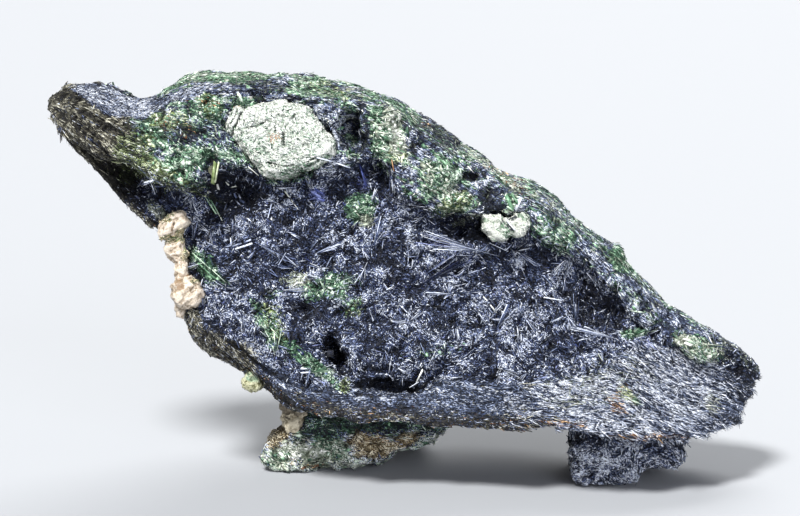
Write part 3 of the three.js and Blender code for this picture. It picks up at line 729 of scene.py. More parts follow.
def grow(name, ground, rng, count, grows_on, length, width, flat, along, fan, rise, lift):
    """One set of fine grains on the rock, with the attributes that its material reads."""
    density = sum(share * ground.zones[zone] for zone, share in grows_on.items())
    point, normal, faces = ground.places(rng, count, density)
    p = to_face(point)
    z = ground.zones_at(faces)
    rise = rise * (0.3 + 0.7 * z["face"])
    direction = tilted(headings(p, rng, normal, along, fan), normal, rng, rise)
    granular = z["scoop"] + z["shelf"] * step(22, 6, p[:, 0])
    lengths = spread(rng, count, *length) * (1 - 0.6 * granular)
    widths = spread(rng, count, *width)
    middle = point + normal * (lift * MM) + direction * (0.18 * lengths)[:, None]
    direction = direction * rng.choice([-1, 1], count)[:, None]
    mesh = slivers(name, middle, direction, normal, lengths, widths, widths * flat, rng)
    paint(mesh, p, ground, faces, rng)
    return link(name, mesh)


# Sheaves of long needles on the face: x and v of their root, turn and half spread in degrees, reach, and how
# many.
SHEAVES = [
    (11, 32, 163, 5, 9, 26), (11, 32, 172, 4, 7, 16), (2, 27, 31, 5, 7.5, 24), (2.5, 28.5, 34, 4, 6, 14),
    (6.5, 26, 2, 3, 5, 9), (6.5, 26, 178, 6, 4, 10), (6.5, 26, 95, 50, 1.6, 14), (15, 32.5, -38, 7, 5, 22),
    (15, 32.5, -72, 9, 3.6, 14), (8.5, 28.5, 20, 4, 3, 8), (24, 21.5, 88, 9, 4.5, 14),
    (22, 26, 140, 12, 4, 18), (18, 27.5, 100, 10, 4, 16), (29, 20, 165, 10, 6, 18), (-4, 33, 75, 16, 4, 14),
    (-12, 31.5, 20, 8, 4, 12), (-20, 33, -30, 10, 4.5, 10), (-2, 22.5, 120, 12, 3, 12),
    (13, 21, 60, 12, 4, 12),
]
RANDOM_SHEAVES = 300
# The other sheaves: half spread in degrees, reach in millimetres and how many needles each.
RANDOM_SHEAF = dict(half_spread=(5, 20), reach=(1.0, 2.9), each=11)
SHEAF_WIDTH = (0.06, 0.1, 0.17)


def sheaf_rows(ground, rng):
    """The root place, normal and face, then turn, half spread, reach and count, of every sheaf."""
    rows = np.array(SHEAVES, float)
    near = ground.under(rows[:, 0], rows[:, 1])
    clear = 1 - patched(ground.middles, DARK_AND_SHADE_PATCHES)
    density = ground.zones["face"] * (1 - ground.zones["tip"]) * clear
    loose = ground.places(rng, RANDOM_SHEAVES, density)
    roots = [np.concatenate(pair) for pair in zip(near, loose)]
    half = rng.uniform(*RANDOM_SHEAF["half_spread"], RANDOM_SHEAVES)
    reach = rng.uniform(*RANDOM_SHEAF["reach"], RANDOM_SHEAVES)
    turn = rng.uniform(0, 360, RANDOM_SHEAVES)
    many = np.full(RANDOM_SHEAVES, RANDOM_SHEAF["each"])
    return roots, np.concatenate([rows[:, 2:], columns(turn, half, reach, many)])


def grow_sheaves(name, ground, rng):
    """Long needles that fan out of shared roots."""
    (root, normal, faces), rows = sheaf_rows(ground, rng)
    owner = np.repeat(np.arange(len(rows)), rows[:, 3].astype(int))
    turn, half, reach, _ = rows[owner].T
    root, normal, faces = root[owner], normal[owner], faces[owner]
    count = len(owner)
    angle = np.radians(turn + half * rng.normal(0, 0.6, count))
    line = turn_to_row(columns(np.cos(angle), np.sin(angle), np.zeros(count)))
    line = square_to(normal, line)
    direction = tilted(line, normal, rng, 7)
    lengths = (reach * rng.uniform(0.45, 1.0, count)) * MM
    widths = spread(rng, count, *SHEAF_WIDTH)
    shift = normal * (rng.uniform(0.15, 0.6, count) * MM)[:, None] + direction * (0.5 * reach * MM)[:, None]
    shift += line * (rng.normal(0, 0.12, count) * reach * MM)[:, None]
    mesh = prisms(name, root + shift, direction, normal, lengths, widths, widths * 0.8, rng, 3)
    paint(mesh, to_face(root + shift), ground, faces, rng, np.where(owner < len(SHEAVES), 0.18, 0.0))
    return link(name, mesh)


# Single large needles and blades: x and v of both ends, width, mineral and tint.
BLADES = [
    (-11.7, 44.8, -9.6, 44.3, 0.3, "navy", 0.95), (-9.5, 44.25, -7.2, 43.5, 0.26, "navy", 1.0),
    (-27.5, 39.5, -26, 37.2, 0.22, "green", 0.8), (-27.2, 39.6, -25.5, 37, 0.18, "green", 0.4),
    (-26.8, 39.2, -25.3, 36.6, 0.2, "green", 0.65), (-26.4, 38.4, -25.1, 36.2, 0.16, "pale", 0.5),
    (14.2, 39.7, 15.2, 37.6, 0.7, "green", 0.5), (15, 39.8, 15.9, 38.6, 0.5, "green", 0.35),
    (14.4, 38.2, 15.3, 37.6, 0.4, "green", 0.8), (-29.2, 31.8, -26.6, 29.5, 0.26, "green", 0.9),
    (-26.8, 29.8, -24.4, 27.6, 0.24, "green", 0.95), (-28.4, 30.4, -26, 28.2, 0.3, "green", 0.5),
    (16.3, 39.4, 15.6, 37.7, 0.5, "navy", 1.0), (14.2, 36.4, 15.4, 34.9, 0.3, "navy", 1.0),
    (12, 33.2, 14.7, 32, 0.24, "navy", 1.0), (14.3, 32.1, 15.2, 32.9, 0.2, "navy", 0.9),
    (11.2, 25.7, 13, 23.5, 0.34, "pale", 0.9), (10.9, 25.3, 12.5, 23.4, 0.26, "navy", 0.9),
    (-0.4, 24.6, 1.5, 22.7, 0.24, "navy", 1.0), (-14, 15.9, -12.8, 15.9, 0.34, "navy", 1.0),
    (-14, 15.3, -12.6, 15.4, 0.3, "navy", 1.0), (2.8, 15.8, 1.8, 13.8, 0.3, "pale", 1.0),
    (-6, 44.2, -5.1, 41, 0.3, "indigo", 0.45), (-5.7, 43.8, -4.8, 40.4, 0.3, "indigo", 0.3),
    (19.6, 25.6, 22, 25.2, 0.26, "navy", 1.0), (22.6, 23.4, 24, 21.6, 0.2, "navy", 0.9),
    (-1.5, 44.6, -1.2, 43, 0.22, "rust", 0.6), (-16.4, 40.4, -14.5, 37.8, 0.26, "pale", 0.7),
    (-25.6, 44.2, -26, 41.2, 1.0, "olive", 0.48), (-25.1, 44.2, -25.7, 41.4, 0.26, "olive", 0.9),
    (-26.1, 41.5, -25.9, 40.7, 0.45, "pale", 0.9), (-24.9, 41.8, -24.4, 41.3, 0.4, "pale", 0.7),
    (-24.1, 41, -23.4, 41.2, 0.34, "pale", 0.6), (-23.7, 40.2, -23.4, 39.5, 0.5, "navy", 0.75),
    (-23.1, 40.1, -22.8, 39.5, 0.44, "navy", 0.95), (-22.8, 39.2, -22.1, 38.8, 0.5, "navy", 0.7),
    (-23.3, 39.1, -22.7, 38.5, 0.4, "navy", 0.85), (38.8, 19.9, 39.7, 19.7, 0.5, "pale", 0.8),
    (39, 19.4, 39.9, 19, 0.6, "pale", 0.9), (-21.2, 43.6, -19.8, 42.4, 0.24, "pale", 0.7),
    (-18.7, 36.6, -18.2, 38.6, 0.2, "navy", 0.9), (-12.6, 40.3, -11.3, 39.5, 0.5, "indigo", 0.8),
    (-12.1, 40.6, -11.1, 40, 0.4, "indigo", 0.6), (-11.9, 39.4, -10.8, 39, 0.4, "indigo", 0.7),
    (-23.6, 32.7, -21, 33.6, 0.3, "navy", 0.85), (-23.2, 32.3, -20.8, 33.1, 0.3, "navy", 1.0),
    (-23, 33.4, -21.4, 34, 0.26, "navy", 0.7),
]
BLADE_LIFT = 0.4  # how far out of the surface a blade's axis lies
BLADE_DIP = 0.8  # the most that one end lies below the other, so that a blade bridges a hollow


def surface(meshes):
    """A ray tree of several meshes."""
    corners, faces = [], []
    for mesh in meshes:
        faces.append(triangles(mesh) + sum(len(part) for part in corners))
        corners.append(positions(mesh))
    return BVHTree.FromPolygons(np.concatenate(corners).tolist(), np.concatenate(faces).tolist())


def grow_blades(name, rng):
    """The large single needles and blades of the face, lying on the rock or on a crystal."""
    rows = np.array([blade[:5] for blade in BLADES])
    tree = surface([obj.data for obj in (rock, *crystals.values())])
    (low, normal, _), (high, other, _) = (in_front(tree, rows[:, k], rows[:, k + 1]) for k in (0, 2))
    normal = unit(normal + other)
    low, high = to_face(low), to_face(high)
    top = np.maximum(low[:, 2], high[:, 2])
    for end in (low, high):
        end[:, 2] = np.maximum(end[:, 2], top - BLADE_DIP) + BLADE_LIFT
    low, high = to_row(low), to_row(high)
    length, width = np.linalg.norm(high - low, axis=1), rows[:, 4] * MM
    mesh = prisms(name, (low + high) / 2, unit(high - low), normal, length, width, width * 0.5, rng, 4)
    for mineral in MINERALS:
        set_each(mesh, mineral, [float(blade[5] == mineral) for blade in BLADES])
    set_each(mesh, "tint", [blade[6] for blade in BLADES])
    return link(name, mesh)


# Patches of each mineral and of the darker places, as rows of x, v, half sizes, turn and strength.
GREEN_PATCHES = [
    (-16.9, 2.1, 2.3, 1.3, 0, 1.0), (-10.2, 4.5, 3, 1.6, -20, 1.0), (-13.9, 6.2, 1.6, 0.6, 0, 1.0),
    (-27.5, 45.3, 3, 1.1, -5, 1.0), (-26.3, 51.6, 2.4, 1.9, -30, 0.9), (-37, 50.5, 2.6, 1.8, -20, 0.7),
    (-28, 48.5, 6, 4, -20, 0.62), (-33.5, 48.4, 3.4, 2.4, -35, 0.95), (-30.8, 43.4, 2.2, 2, -25, 0.95),
    (-27.6, 44.6, 2.4, 1.6, 20, 0.95), (-29, 41.6, 3.4, 1, -12, 0.7), (-22.5, 44.5, 3.4, 1.6, 5, 0.6),
    (-2.5, 48, 2.6, 4.2, 10, 1.0), (4.5, 42, 3.6, 3, 15, 0.72), (7.5, 38.5, 3.5, 1.6, 15, 0.9),
    (-5.8, 38, 2.2, 2.4, 0, 0.9), (-10, 27, 4, 2.2, 10, 0.7), (-27, 29.5, 4, 1.3, -48, 0.9),
    (-18.5, 22, 1.6, 4.5, 25, 0.7), (-13.4, 17.2, 6.4, 0.95, -38, 1.0), (4.5, 18.2, 7.5, 0.9, 10, 0.45),
    (14.3, 42, 1.4, 0.9, -20, 0.9), (41, 18.6, 4, 1.8, -22, 0.75), (30.5, 31, 2.2, 1.8, -40, 1.0),
    (16, 41, 3.6, 2.4, -38, 0.4), (-16, 42.4, 4.6, 1.2, 5, 0.6), (21, 34.6, 4.6, 2.4, -42, 0.62),
    (32, 20.6, 2, 0.7, 10, 0.9), (14.8, 38.6, 1, 1.5, -10, 1.0), (-18, 26, 1.6, 0.7, 20, 0.6),
    (-6.9, 24.4, 1.8, 1.6, 0, 0.6), (31.7, 11.7, 0.8, 0.5, -40, 0.7),
]
OLIVE_PATCHES = [
    (-12.7, 2, 2.2, 0.7, 12, 0.9), (-34.5, 43.5, 3.6, 1.6, -35, 0.8), (-26.3, 51.8, 2, 1.4, -30, 0.5),
    (-37, 45, 2.6, 4, -30, 0.8), (-32, 50, 4, 1.6, -15, 0.6), (-17.5, 22.4, 1.3, 3.4, 25, 0.55),
    (7.5, 38.6, 3, 1.4, 15, 0.7), (-31, 41.5, 5, 1, -25, 0.6), (-0.5, 45.6, 1.6, 1.6, 0, 0.7),
    (-10, 54.5, 4, 1.4, -10, 0.4), (30.5, 12.7, 1.1, 0.8, -50, 0.9), (-7.9, 13.6, 0.7, 1, 0, 0.9),
    (-6.6, 24.2, 1.4, 1.3, 0, 0.6),
]
PALE_PATCHES = [
    (3.4, 42.2, 1.1, 1.8, 10, 0.5), (-1.5, 50, 1.2, 2.4, 15, 0.8), (-0.5, 46.5, 1.5, 1.4, 0, 0.7),
    (-14.5, 28, 2, 1.1, 0, 0.7), (-4.8, 36, 1.1, 0.9, 0, 0.9), (38.8, 19.6, 1.1, 0.8, 0, 1.0),
    (41.4, 18.4, 3.4, 1.4, -20, 0.45), (6.5, 40.5, 1.6, 1, 0, 0.5), (27, 14, 7, 3.4, 15, 0.15),
    (-14.4, 3.7, 3.8, 1.3, -6, 0.85), (42.6, 10.8, 1, 1.4, 0, 0.5), (9, 36.4, 2, 0.5, 20, 0.5),
    (15.4, 41, 1.6, 0.8, -35, 0.5), (11.5, 44.8, 4, 1.2, -36, 0.45), (20.5, 38, 4.6, 0.9, -42, 0.4),
    (-34.4, 37.6, 1.7, 0.8, -35, 0.6),
]
YELLOW_PATCHES = [
    (-18.1, 5.9, 2.3, 1.7, 30, 1.0), (-4.3, 4.3, 3.4, 2, -10, 1.0), (0.2, 5.3, 2.4, 1, 20, 0.8),
    (-15.5, 2.4, 1, 0.6, 0, 0.6),
]
RUST_PATCHES = [
    (-13.2, 1.6, 1.4, 0.5, 0, 1.6), (-3.8, 5, 2.2, 1, 0, 0.8), (-32, 49.6, 1.8, 1, -20, 1.0),
    (-29.5, 48.6, 1.4, 0.9, 0, 0.8), (-27.5, 52.3, 2.6, 0.8, -8, 0.6), (14.5, 42.2, 3.6, 1.2, -36, 0.8),
    (3, 49.6, 0.9, 0.5, 0, 1.2), (30.4, 13.2, 0.7, 0.6, 30, 0.8), (29, 11.1, 1, 1.4, 10, 1.5),
    (-45, 55.8, 3, 0.6, 0, 1.0), (34, 6.9, 5.4, 0.45, -2, 2.0), (21, 8.7, 3.5, 0.45, -5, 1.4),
]
INDIGO_PATCHES = [
    (-11.7, 39.8, 1.3, 0.9, -20, 1.6), (-5.6, 42, 0.8, 2, 0, 0.9), (23.5, 20.5, 1.4, 2.4, 0, 0.25),
    (5, 29.5, 5, 1.2, 32, 0.35), (8, 31.6, 5, 1, -12, 0.35), (34, 19.4, 1.2, 0.8, 0, 0.6),
]
# The darker places: painted shade in hollows, recesses and under overhangs, and places where the rock itself
# is dark.
DARK_AND_SHADE_PATCHES = [
    (-28.4, 47.9, 5.4, 1.7, -3, 0.7), (-25.4, 43.9, 2.6, 1, -5, 0.8), (-5.6, 49, 1.4, 4, 8, 0.9),
    (5, 48.3, 4.4, 2, -32, 0.75), (8, 35.5, 4, 1.9, -18, 0.85), (12.5, 38.9, 2.1, 1.6, -15, 1.0),
    (9.4, 42.4, 1.4, 0.8, -10, 0.9), (-23.8, 39.9, 4.2, 3, -10, 1.0), (27, 24, 4.6, 2.4, -35, 0.85),
    (17.5, 25.5, 2.4, 0.9, -20, 0.6), (6, 29.6, 2.6, 0.8, 25, 0.55), (-1, 30, 3, 1, -20, 0.5),
    (-22, 37.5, 4, 1.2, -15, 0.5), (21.5, 20, 2, 0.9, 10, 0.55), (-20, 27, 2.6, 1, -30, 0.45),
    (-39, 41.5, 5, 2, -38, 0.9), (-20.5, 53.9, 4.6, 1.5, 0, 0.65), (-9.3, 17.8, 1.6, 3, 28, 0.95),
    (-2.4, 13.6, 5.2, 1.1, -3, 0.95), (47.2, 15, 2.4, 3.6, 20, 0.7), (25.8, 6, 3.2, 1.2, -6, 0.7),
    (-13.6, 24, 2.1, 0.8, -28, 0.9),
]


def streaks(p, thickness, length, seed):
    """Noise from -1 to 1 drawn out along the rock's layers."""
    return fractal(columns(p[:, 0] / length, layer_place(p) / thickness, p[:, 2] / length), 3, seed)


def green_share(p, z, streak, blotch):
    """Where the rock is green, before its dark places are taken out."""
    leftward = step(15, 4, p[:, 0])
    in_streaks = step(-0.12, 0.05, streak + 0.5 * blotch + 0.12)
    parts = [
        0.8 * patched(p, GREEN_PATCHES) * in_view(p) * (1 - z["scoop"]),
        z["crest"] * (1 - 0.8 * z["tip"]) * (0.3 + 0.35 * in_streaks * (0.45 + 0.55 * leftward)),
        z["belt"] * (0.42 + 0.22 * leftward) * step(-0.05, 0.15, streak + 0.6 * blotch),
        z["back"] * step(0.0, 0.4, streak + 0.7 * blotch) * 0.6,
        z["left_foot"] * 0.5,
        z["face"] * 0.2 * step(-0.1, 0.3, fractal(p / 2.8, 2, seed=117)),
    ]
    return np.max(parts, axis=0)


def brown_share(p, z, rim):
    """Where the rock is brown schist: the horn, the lower rims and worn places of the back."""
    worn = z["back"] * step(-11, -15, p[:, 2]) * step(0.15, 0.45, fractal(p / 9, 3, seed=121))
    parts = [
        0.9 * z["horn"],
        0.42 * rim + 0.1 * z["shelf"] * step(24, 16, p[:, 0]),
        z["shelf"] * step(-18.5, -21.5, p[:, 0]) * 0.75,
        0.7 * worn,
    ]
    return np.max(parts, axis=0)


def minerals(p, z):
    """Shares of each mineral at points of the rock, and of its darker places, which are partly painted shade.
    """
    streak = streaks(p, 0.5, 7, 101)
    blotch = fractal(p / 5.5, 3, seed=111)
    on_face = in_view(p) * (1 - z["scoop"])
    # Painted shade in the hollows and under overhangs, and a painted shadow along the left foot's top, under
    # the rock.
    dark = patched(p, DARK_AND_SHADE_PATCHES) * step(-6.5, -3.5, p[:, 2] + 3 * fractal(p / 6, 2, seed=15))
    dark = np.maximum(dark, 0.9 * z["left_foot"] * step(5.4, 7, p[:, 1] + 1.2 * blotch))
    green = step(0.2, 0.75, green_share(p, z, streak, blotch)) * (1 - 0.8 * dark)
    green = np.maximum(green, 0.6 * z["left_foot"] * dark)
    rim = step(3, 1, p[:, 1] - edge(KEEL, p[:, 0])) * z["shelf"] * step(24, 16, p[:, 0])
    brown = brown_share(p, z, rim)
    yellow = z["left_foot"] * patched(p, YELLOW_PATCHES)
    base_pale = 0.5 * z["left_foot"] * (1 - dark) * (1 - yellow) + 0.16 * z["crest"] + 0.1 * z["belt"]
    blue = z["shelf"] * step(-21, -16, p[:, 0]) + z["scoop"] + 0.75 * z["crest"] + 0.55 * z["belt"]
    blue = blue + 0.3 * z["face"] + 0.5 * z["right_foot"]
    return {
        "green": green * (1 - brown * 0.9) * (1 - yellow),
        "olive": 0.8 * patched(p, OLIVE_PATCHES) * on_face,
        "pale": np.maximum(patched(p, PALE_PATCHES) * on_face, base_pale),
        "rust": (0.24 * patched(p, RUST_PATCHES) + 0.05 * rim) * on_face,
        "indigo": (0.6 * patched(p, INDIGO_PATCHES) + 0.035 * z["face"]) * on_face,
        "brown": brown * (1 - green * 0.3),
        "yellow": yellow,
        "blue": np.clip(blue, 0, 1) * (1 - brown),
        "dark": dark,
    }


MINERALS = ("blue", "brown", "green", "olive", "yellow", "pale", "indigo", "rust")


# Painted light and shade: places brighter or darker than the rest of their zone, as patches without a
# strength.
LIT_PLACES = {
    "shelf_top": (30, 14, 15, 7, 0),
    "cushion": (-1, 18.5, 10, 4.5, 4),
    "right_foot": (28, 1.7, 5.4, 2.6, 8),
    "left_rim": (-23.9, 21.7, 5, 1.8, -38),
    "heel": (-18.6, 4.8, 2.8, 2.4, 0),
}


def gain(p, z):
    """How bright each part's grains are, about 1, with painted light on the scoop, shelf, shell and feet."""
    lit = {place: patch(p, *row, soft=0.5) for place, row in LIT_PLACES.items()}
    shell = z["shelf"] * step(-19, -21.5, p[:, 0])
    made = 1.1 + 0.62 * z["scoop"] + (1.2 * lit["shelf_top"] - 0.1) * z["shelf"] + 0.5 * shell
    made += (0.75 - 0.35 * step(13, 19, p[:, 0])) * z["belt"] + (0.35 + 0.38 * lit["left_rim"]) * z["face"]
    made += (0.9 + 1.1 * lit["heel"]) * z["left_foot"] + (0.5 + 1.3 * lit["right_foot"]) * z["right_foot"]
    made -= 0.05 * lit["cushion"] + 0.05 * z["horn"]
    return made * (1 - 0.15 * z["tip"] - 0.1 * z["back"])


def shading(p, z):
    """Brightness with painted light, varied along the layers and in clots on the needle face."""
    layered = np.clip(z["crest"] + z["shelf"] + z["horn"] + z["back"] + 0.7 * z["belt"], 0, 1)
    clots = step(-0.45, 0.45, fractal(p / 2.4, 2, seed=131))
    lines = streaks(p, 0.4, 5, 141)
    made = 1 + layered * 0.9 * lines + 0.85 * (1 - layered) * (clots - 0.52)
    return gain(p, z) * made.clip(0.25, 1.8)


GREEN_CALM = 0.25  # how far green grains draw in towards the middle tint
# Each kind of grain: its share of all, and its lowest and highest tint. The bright kind is partly painted
# glints.
TINTS = {"dark": (0.56, 0.0, 0.17), "middling": (0.18, 0.28, 0.58), "bright": (0.26, 0.85, 1.05)}


def paint(mesh, p, ground, faces, rng, bright=0.0, m=None):
    """Writes a small crystal's tint, with its painted light and shade, and minerals on each of its vertices.
    """
    count, each = len(p), mesh["corners_each"]
    z = ground.zones_at(faces)
    m = m or minerals(p, z)
    shares, lows, highs = np.array(list(TINTS.values())).T
    kind = rng.choice(3, count, p=shares)
    # Painted shade: grains in the darker places and in crannies are painted darker, and grains on lumps
    # lighter.
    kind = np.where(rng.random(count) < 0.85 * m["dark"], 0, kind)
    tint = (rng.uniform(lows[kind], highs[kind]) + bright) * shading(p, z)
    tint = tint * np.where(kind == 0, 1 - 0.5 * m["dark"], 1) * (0.3 + 1.2 * ground.open[faces])
    tint = tint + GREEN_CALM * m["green"] * (0.5 - tint)
    fade = np.where(rng.random((count, 2)) < 0.4, rng.uniform(0.4, 1, (count, 2)), 1)
    tint = np.repeat(np.clip(tint[:, None] * fade, 0, 1), each // 2, axis=1)
    for name in MINERALS:
        set_each(mesh, name, (rng.random(count) < m[name]).astype(float))
    set_attribute(mesh, "tint", tint)


def grow_mica(name, ground, rng, count=7000, length=(0.3, 0.8, 2.2), width=(0.2, 0.42, 0.9)):
    """Mica flakes where the rock is green."""
    z = ground.zones
    green = minerals(ground.middles, z)["green"] ** 1.5
    density = green * (1 - 0.75 * z["crest"]) * (1 - 0.7 * z["left_foot"]) + 0.02 * z["back"]
    point, normal, faces = ground.places(rng, count, density)
    p = to_face(point)
    direction = headings(p, rng, normal, 0.75, 18)
    lean = unit(normal + 0.22 * rng.normal(0, 1, normal.shape))
    direction = square_to(lean, direction)
    lengths, widths = spread(rng, count, *length), spread(rng, count, *width)
    thickness = rng.uniform(0.04, 0.16, count) * MM
    mesh = flakes(name, point + normal * 0.04 * MM, direction, lean, lengths, widths, thickness, rng)
    all_green = {"green": np.ones(count), "yellow": np.zeros(count)}
    paint(mesh, p, ground, faces, rng, 0.04, minerals(p, ground.zones_at(faces)) | all_green)
    return link(name, mesh)


# Grains on the crystals: crystal, how many, on the whole front (1) or only where it is green (0), share of
# green grains, then the minerals of the rest and of the green ones.
CRYSTAL_GRAINS = {
    "pale_fibres": ("pale_crystal", 6500, 1, 0.2, "pale", "green"),
    "cream_grains": ("cream_pair", 900, 1, 0.2, "pale", "green"),
    "calcite_grains": ("calcite_growth", 1500, 0, 0.05, "yellow", "olive"),
}
GRAIN_LENGTH, GRAIN_WIDTH = (0.2, 0.4, 0.9), (0.07, 0.12, 0.2)


def grow_on_crystal(name, rng, crystal_name, count, all_over, green_share, plain_mineral, green_mineral):
    """Fine fibres and grains in sheaves across a crystal's front."""
    mesh = crystals[crystal_name].data
    ground = Ground(mesh, np.ones(len(mesh.vertices)))
    leaf = patched(ground.middles, CRYSTAL_MARKS["leaf"])
    density = step(0.5, 2.5, ground.middles[:, 2]) * (1 - cut(ground.middles).clip(0, 1))
    point, normal, faces = ground.places(rng, count, density * np.maximum(all_over, leaf))
    p = to_face(point)
    direction = tilted(headings(p, rng, normal, 0.1, 22), normal, rng, 10)
    lengths, widths = spread(rng, count, *GRAIN_LENGTH), spread(rng, count, *GRAIN_WIDTH)
    middle = point + normal * (0.03 * MM)
    mesh = slivers(name, middle, direction, normal, lengths, widths, widths * 0.7, rng)
    green = rng.random(count) < green_share + 0.5 * leaf[faces]
    rust = (rng.random(count) < 0.5 * patched(p, CRYSTAL_MARKS["stain"])) & ~green
    tint = np.where(green, rng.uniform(0, 0.6, count), rng.uniform(0.62, 1, count))
    for mineral, picked in ((green_mineral, green), ("rust", rust), (plain_mineral, ~green & ~rust)):
        set_each(mesh, mineral, picked.astype(float))
    set_each(mesh, "tint", tint)
    grains = link(name, mesh)
    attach(grains, ROOT)
    return grains


ground = Ground(rock.data, painted_light_openness)
grown = [
    grow(name, ground, np.random.default_rng(200 + number), **how)
    for number, (name, how) in enumerate(GROWTH.items())
]
grown.append(grow_sheaves("needles_sheaves", ground, np.random.default_rng(61)))
grown.append(grow_blades("needles_blades", np.random.default_rng(67)))
grown.append(grow_mica("mica_flakes", ground, np.random.default_rng(53)))

crystal_grains = [
    grow_on_crystal(name, np.random.default_rng(73 + number), *how)
    for number, (name, how) in enumerate(CRYSTAL_GRAINS.items())
]

p = to_face(positions(rock.data))
for name, values in minerals(p, zones(p)).items():
    set_attribute(rock.data, name, values)
# Painted light and shade of the rock between its grains.
set_attribute(rock.data, "open", painted_light_openness)
set_attribute(rock.data, "gain", shading(p, zones(p)))
set_attribute(rock.data, "grain", columns(p[:, 0], layer_place(p), p[:, 2]), "FLOAT_VECTOR")


# ---- Materials ---------------------------------------------------------------------------------------------


def colour(code):
    """A #rrggbb code as linear red, green, blue and alpha."""
    parts = [int(code[i : i + 2], 16) / 255 for i in (1, 3, 5)]
    return [c / 12.92 if c <= 0.04045 else ((c + 0.055) / 1.055) ** 2.4 for c in parts] + [1]


class Look:
    """Short calls that build one material's nodes. Lengths are in millimetres of the row frame."""

    def __init__(self, name, **values):
        self.material = bpy.data.materials.new(name)
        self.material.use_nodes = True
        self.tree = self.material.node_tree
        self.shader = self.tree.nodes["Principled BSDF"]
        for key, value in values.items():
            self.shader.inputs[key.replace("_", " ")].default_value = value
        self.place = self.turned(self.node("TexCoord").outputs["Object"], scale=(1000, 1000, 1000))

    def feed(self, socket, value):
        if isinstance(value, bpy.types.NodeSocket):
            self.tree.links.new(value, socket)
        else:
            socket.default_value = colour(value) if isinstance(value, str) else value

    def node(self, kind, **inputs):
        """A new node with inputs set or linked by name, in which _ stands for a space."""
        node = self.tree.nodes.new("ShaderNode" + kind)
        for key, value in inputs.items():
            self.feed(node.inputs[key.replace("_", " ")], value)
        return node

    def turned(self, vector, turn=(0, 0, 0), scale=(1, 1, 1)):
        node = self.node("Mapping", Vector=vector, Scale=scale, Rotation=[math.radians(a) for a in turn])
        return node.outputs[0]

    def attribute(self, name, output="Fac"):
        node = self.node("Attribute")
        node.attribute_name = name
        return node.outputs[output]

    def noise(self, scale, detail=3, roughness=0.55, vector=None, distortion=0):
        vector = vector or self.place
        how = dict(Scale=scale, Detail=detail, Roughness=roughness, Distortion=distortion)
        return self.node("TexNoise", Vector=vector, **how).outputs["Fac"]

    def ramp(self, value, *stops):
        node = self.node("ValToRGB", Fac=value)
        points = node.color_ramp.elements
        while len(points) < len(stops):
            points.new(1)
        for point, (position, code) in zip(points, stops):
            point.position = position
            point.color = colour(code)
        return node.outputs["Color"]

    def span(self, value, low, high, start=0, end=1):
        """value from low to high as start to end, held at both."""
        ends = dict(From_Min=low, From_Max=high, To_Min=start, To_Max=end)
        return self.node("MapRange", Value=value, **ends).outputs["Result"]

    def math(self, operation, a, b):
        node = self.node("Math")
        node.operation = operation
        self.feed(node.inputs[0], a)
        self.feed(node.inputs[1], b)
        return node.outputs[0]

    plus, less = partialmethod(math, "ADD"), partialmethod(math, "SUBTRACT")
    times, most = partialmethod(math, "MULTIPLY"), partialmethod(math, "MAXIMUM")

    def blend(self, share, a, b):
        """A number between a and b."""
        node = self.node("Mix")
        for socket, value in zip(node.inputs[:1] + node.inputs[2:4], (share, a, b)):
            self.feed(socket, value)
        return node.outputs[0]

    def mix(self, share, a, b):
        """A colour between a and b."""
        node = self.node("Mix")
        node.data_type = "RGBA"
        for socket, value in zip(node.inputs[:1] + node.inputs[6:8], (share, a, b)):
            self.feed(socket, value)
        return node.outputs[2]

    def bump(self, height, strength, distance):
        node = self.node("Bump", Height=height, Strength=strength, Distance=distance * MM)
        self.feed(self.shader.inputs["Normal"], node.outputs[0])

    def finish(self, base, roughness=None):
        self.feed(self.shader.inputs["Base Color"], base)
        if roughness is not None:
            self.feed(self.shader.inputs["Roughness"], roughness)
        return self.material


def shades(*codes, at=(0, 0.25, 0.5, 0.75, 1)):
    """Colours from dark to light, each with its place from 0 to 1."""
    return tuple(zip(at, codes))


# Each mineral's colours, from its darkest grains to its lightest.
NAVY = shades("#07080f", "#181f35", "#414e72", "#8391b8", "#eaf0fa")
MINERAL_STOPS = {
    "blue": shades("#0d1018", "#303a50", "#67738f", "#a7b2cb", "#f1f5fc"),
    "brown": shades("#100f0d", "#302d26", "#605d4b", "#97937f", "#d6d3c0", at=(0, 0.3, 0.6, 0.85, 1)),
    "green": shades("#111f16", "#385743", "#6a9371", "#9dc09d", "#dcebd7"),
    "olive": shades("#191d11", "#45512f", "#788854", "#aab784", "#e2e8c8"),
    "yellow": shades("#33291a", "#8e7c58", "#c4b28a", "#f5ecd2", at=(0, 0.35, 0.7, 1)),
    "pale": shades("#636c5a", "#b6bdaa", "#fafaf2", at=(0, 0.4, 1)),
    "indigo": shades("#0a0d1e", "#232b56", "#43508f", "#a3ade0", at=(0, 0.3, 0.6, 1)),
    "rust": shades("#3a2519", "#9a6a45", "#e0b888", at=(0, 0.5, 1)),
}


def mineral_colour(look, tint, scatter=None):
    """The colour that a grain's tint gives it in its mineral. A scatter about 0 breaks up the zones."""
    base = look.ramp(tint, *NAVY)
    for name in MINERALS:
        share = look.attribute(name)
        if scatter is not None:
            share = look.span(look.plus(share, scatter), 0.4, 0.6)
        base = look.mix(share, base, look.ramp(tint, *MINERAL_STOPS[name]))
    return base


def grain_look(name, roughness, specular, streak):
    """Needles, laths and flakes: the tint that each carries, streaked along it by fine noise."""
    look = Look(name, Roughness=roughness, Specular_IOR_Level=specular)
    tint = look.attribute("tint")
    tint = look.plus(tint, look.span(look.noise(2.2, 3), 0.3, 0.7, -streak, streak))
    rough = look.span(look.noise(6, 2), 0.3, 0.7, roughness - 0.12, roughness + 0.14)
    return look.finish(mineral_colour(look, tint), rough)


# Turns in degrees of the rods of noise that cross like needles.
ROD_TURNS = ((10, 35, 20), (70, -20, -50), (-40, 60, 80), (25, -65, -15), (-75, 15, 40), (50, 80, -30))


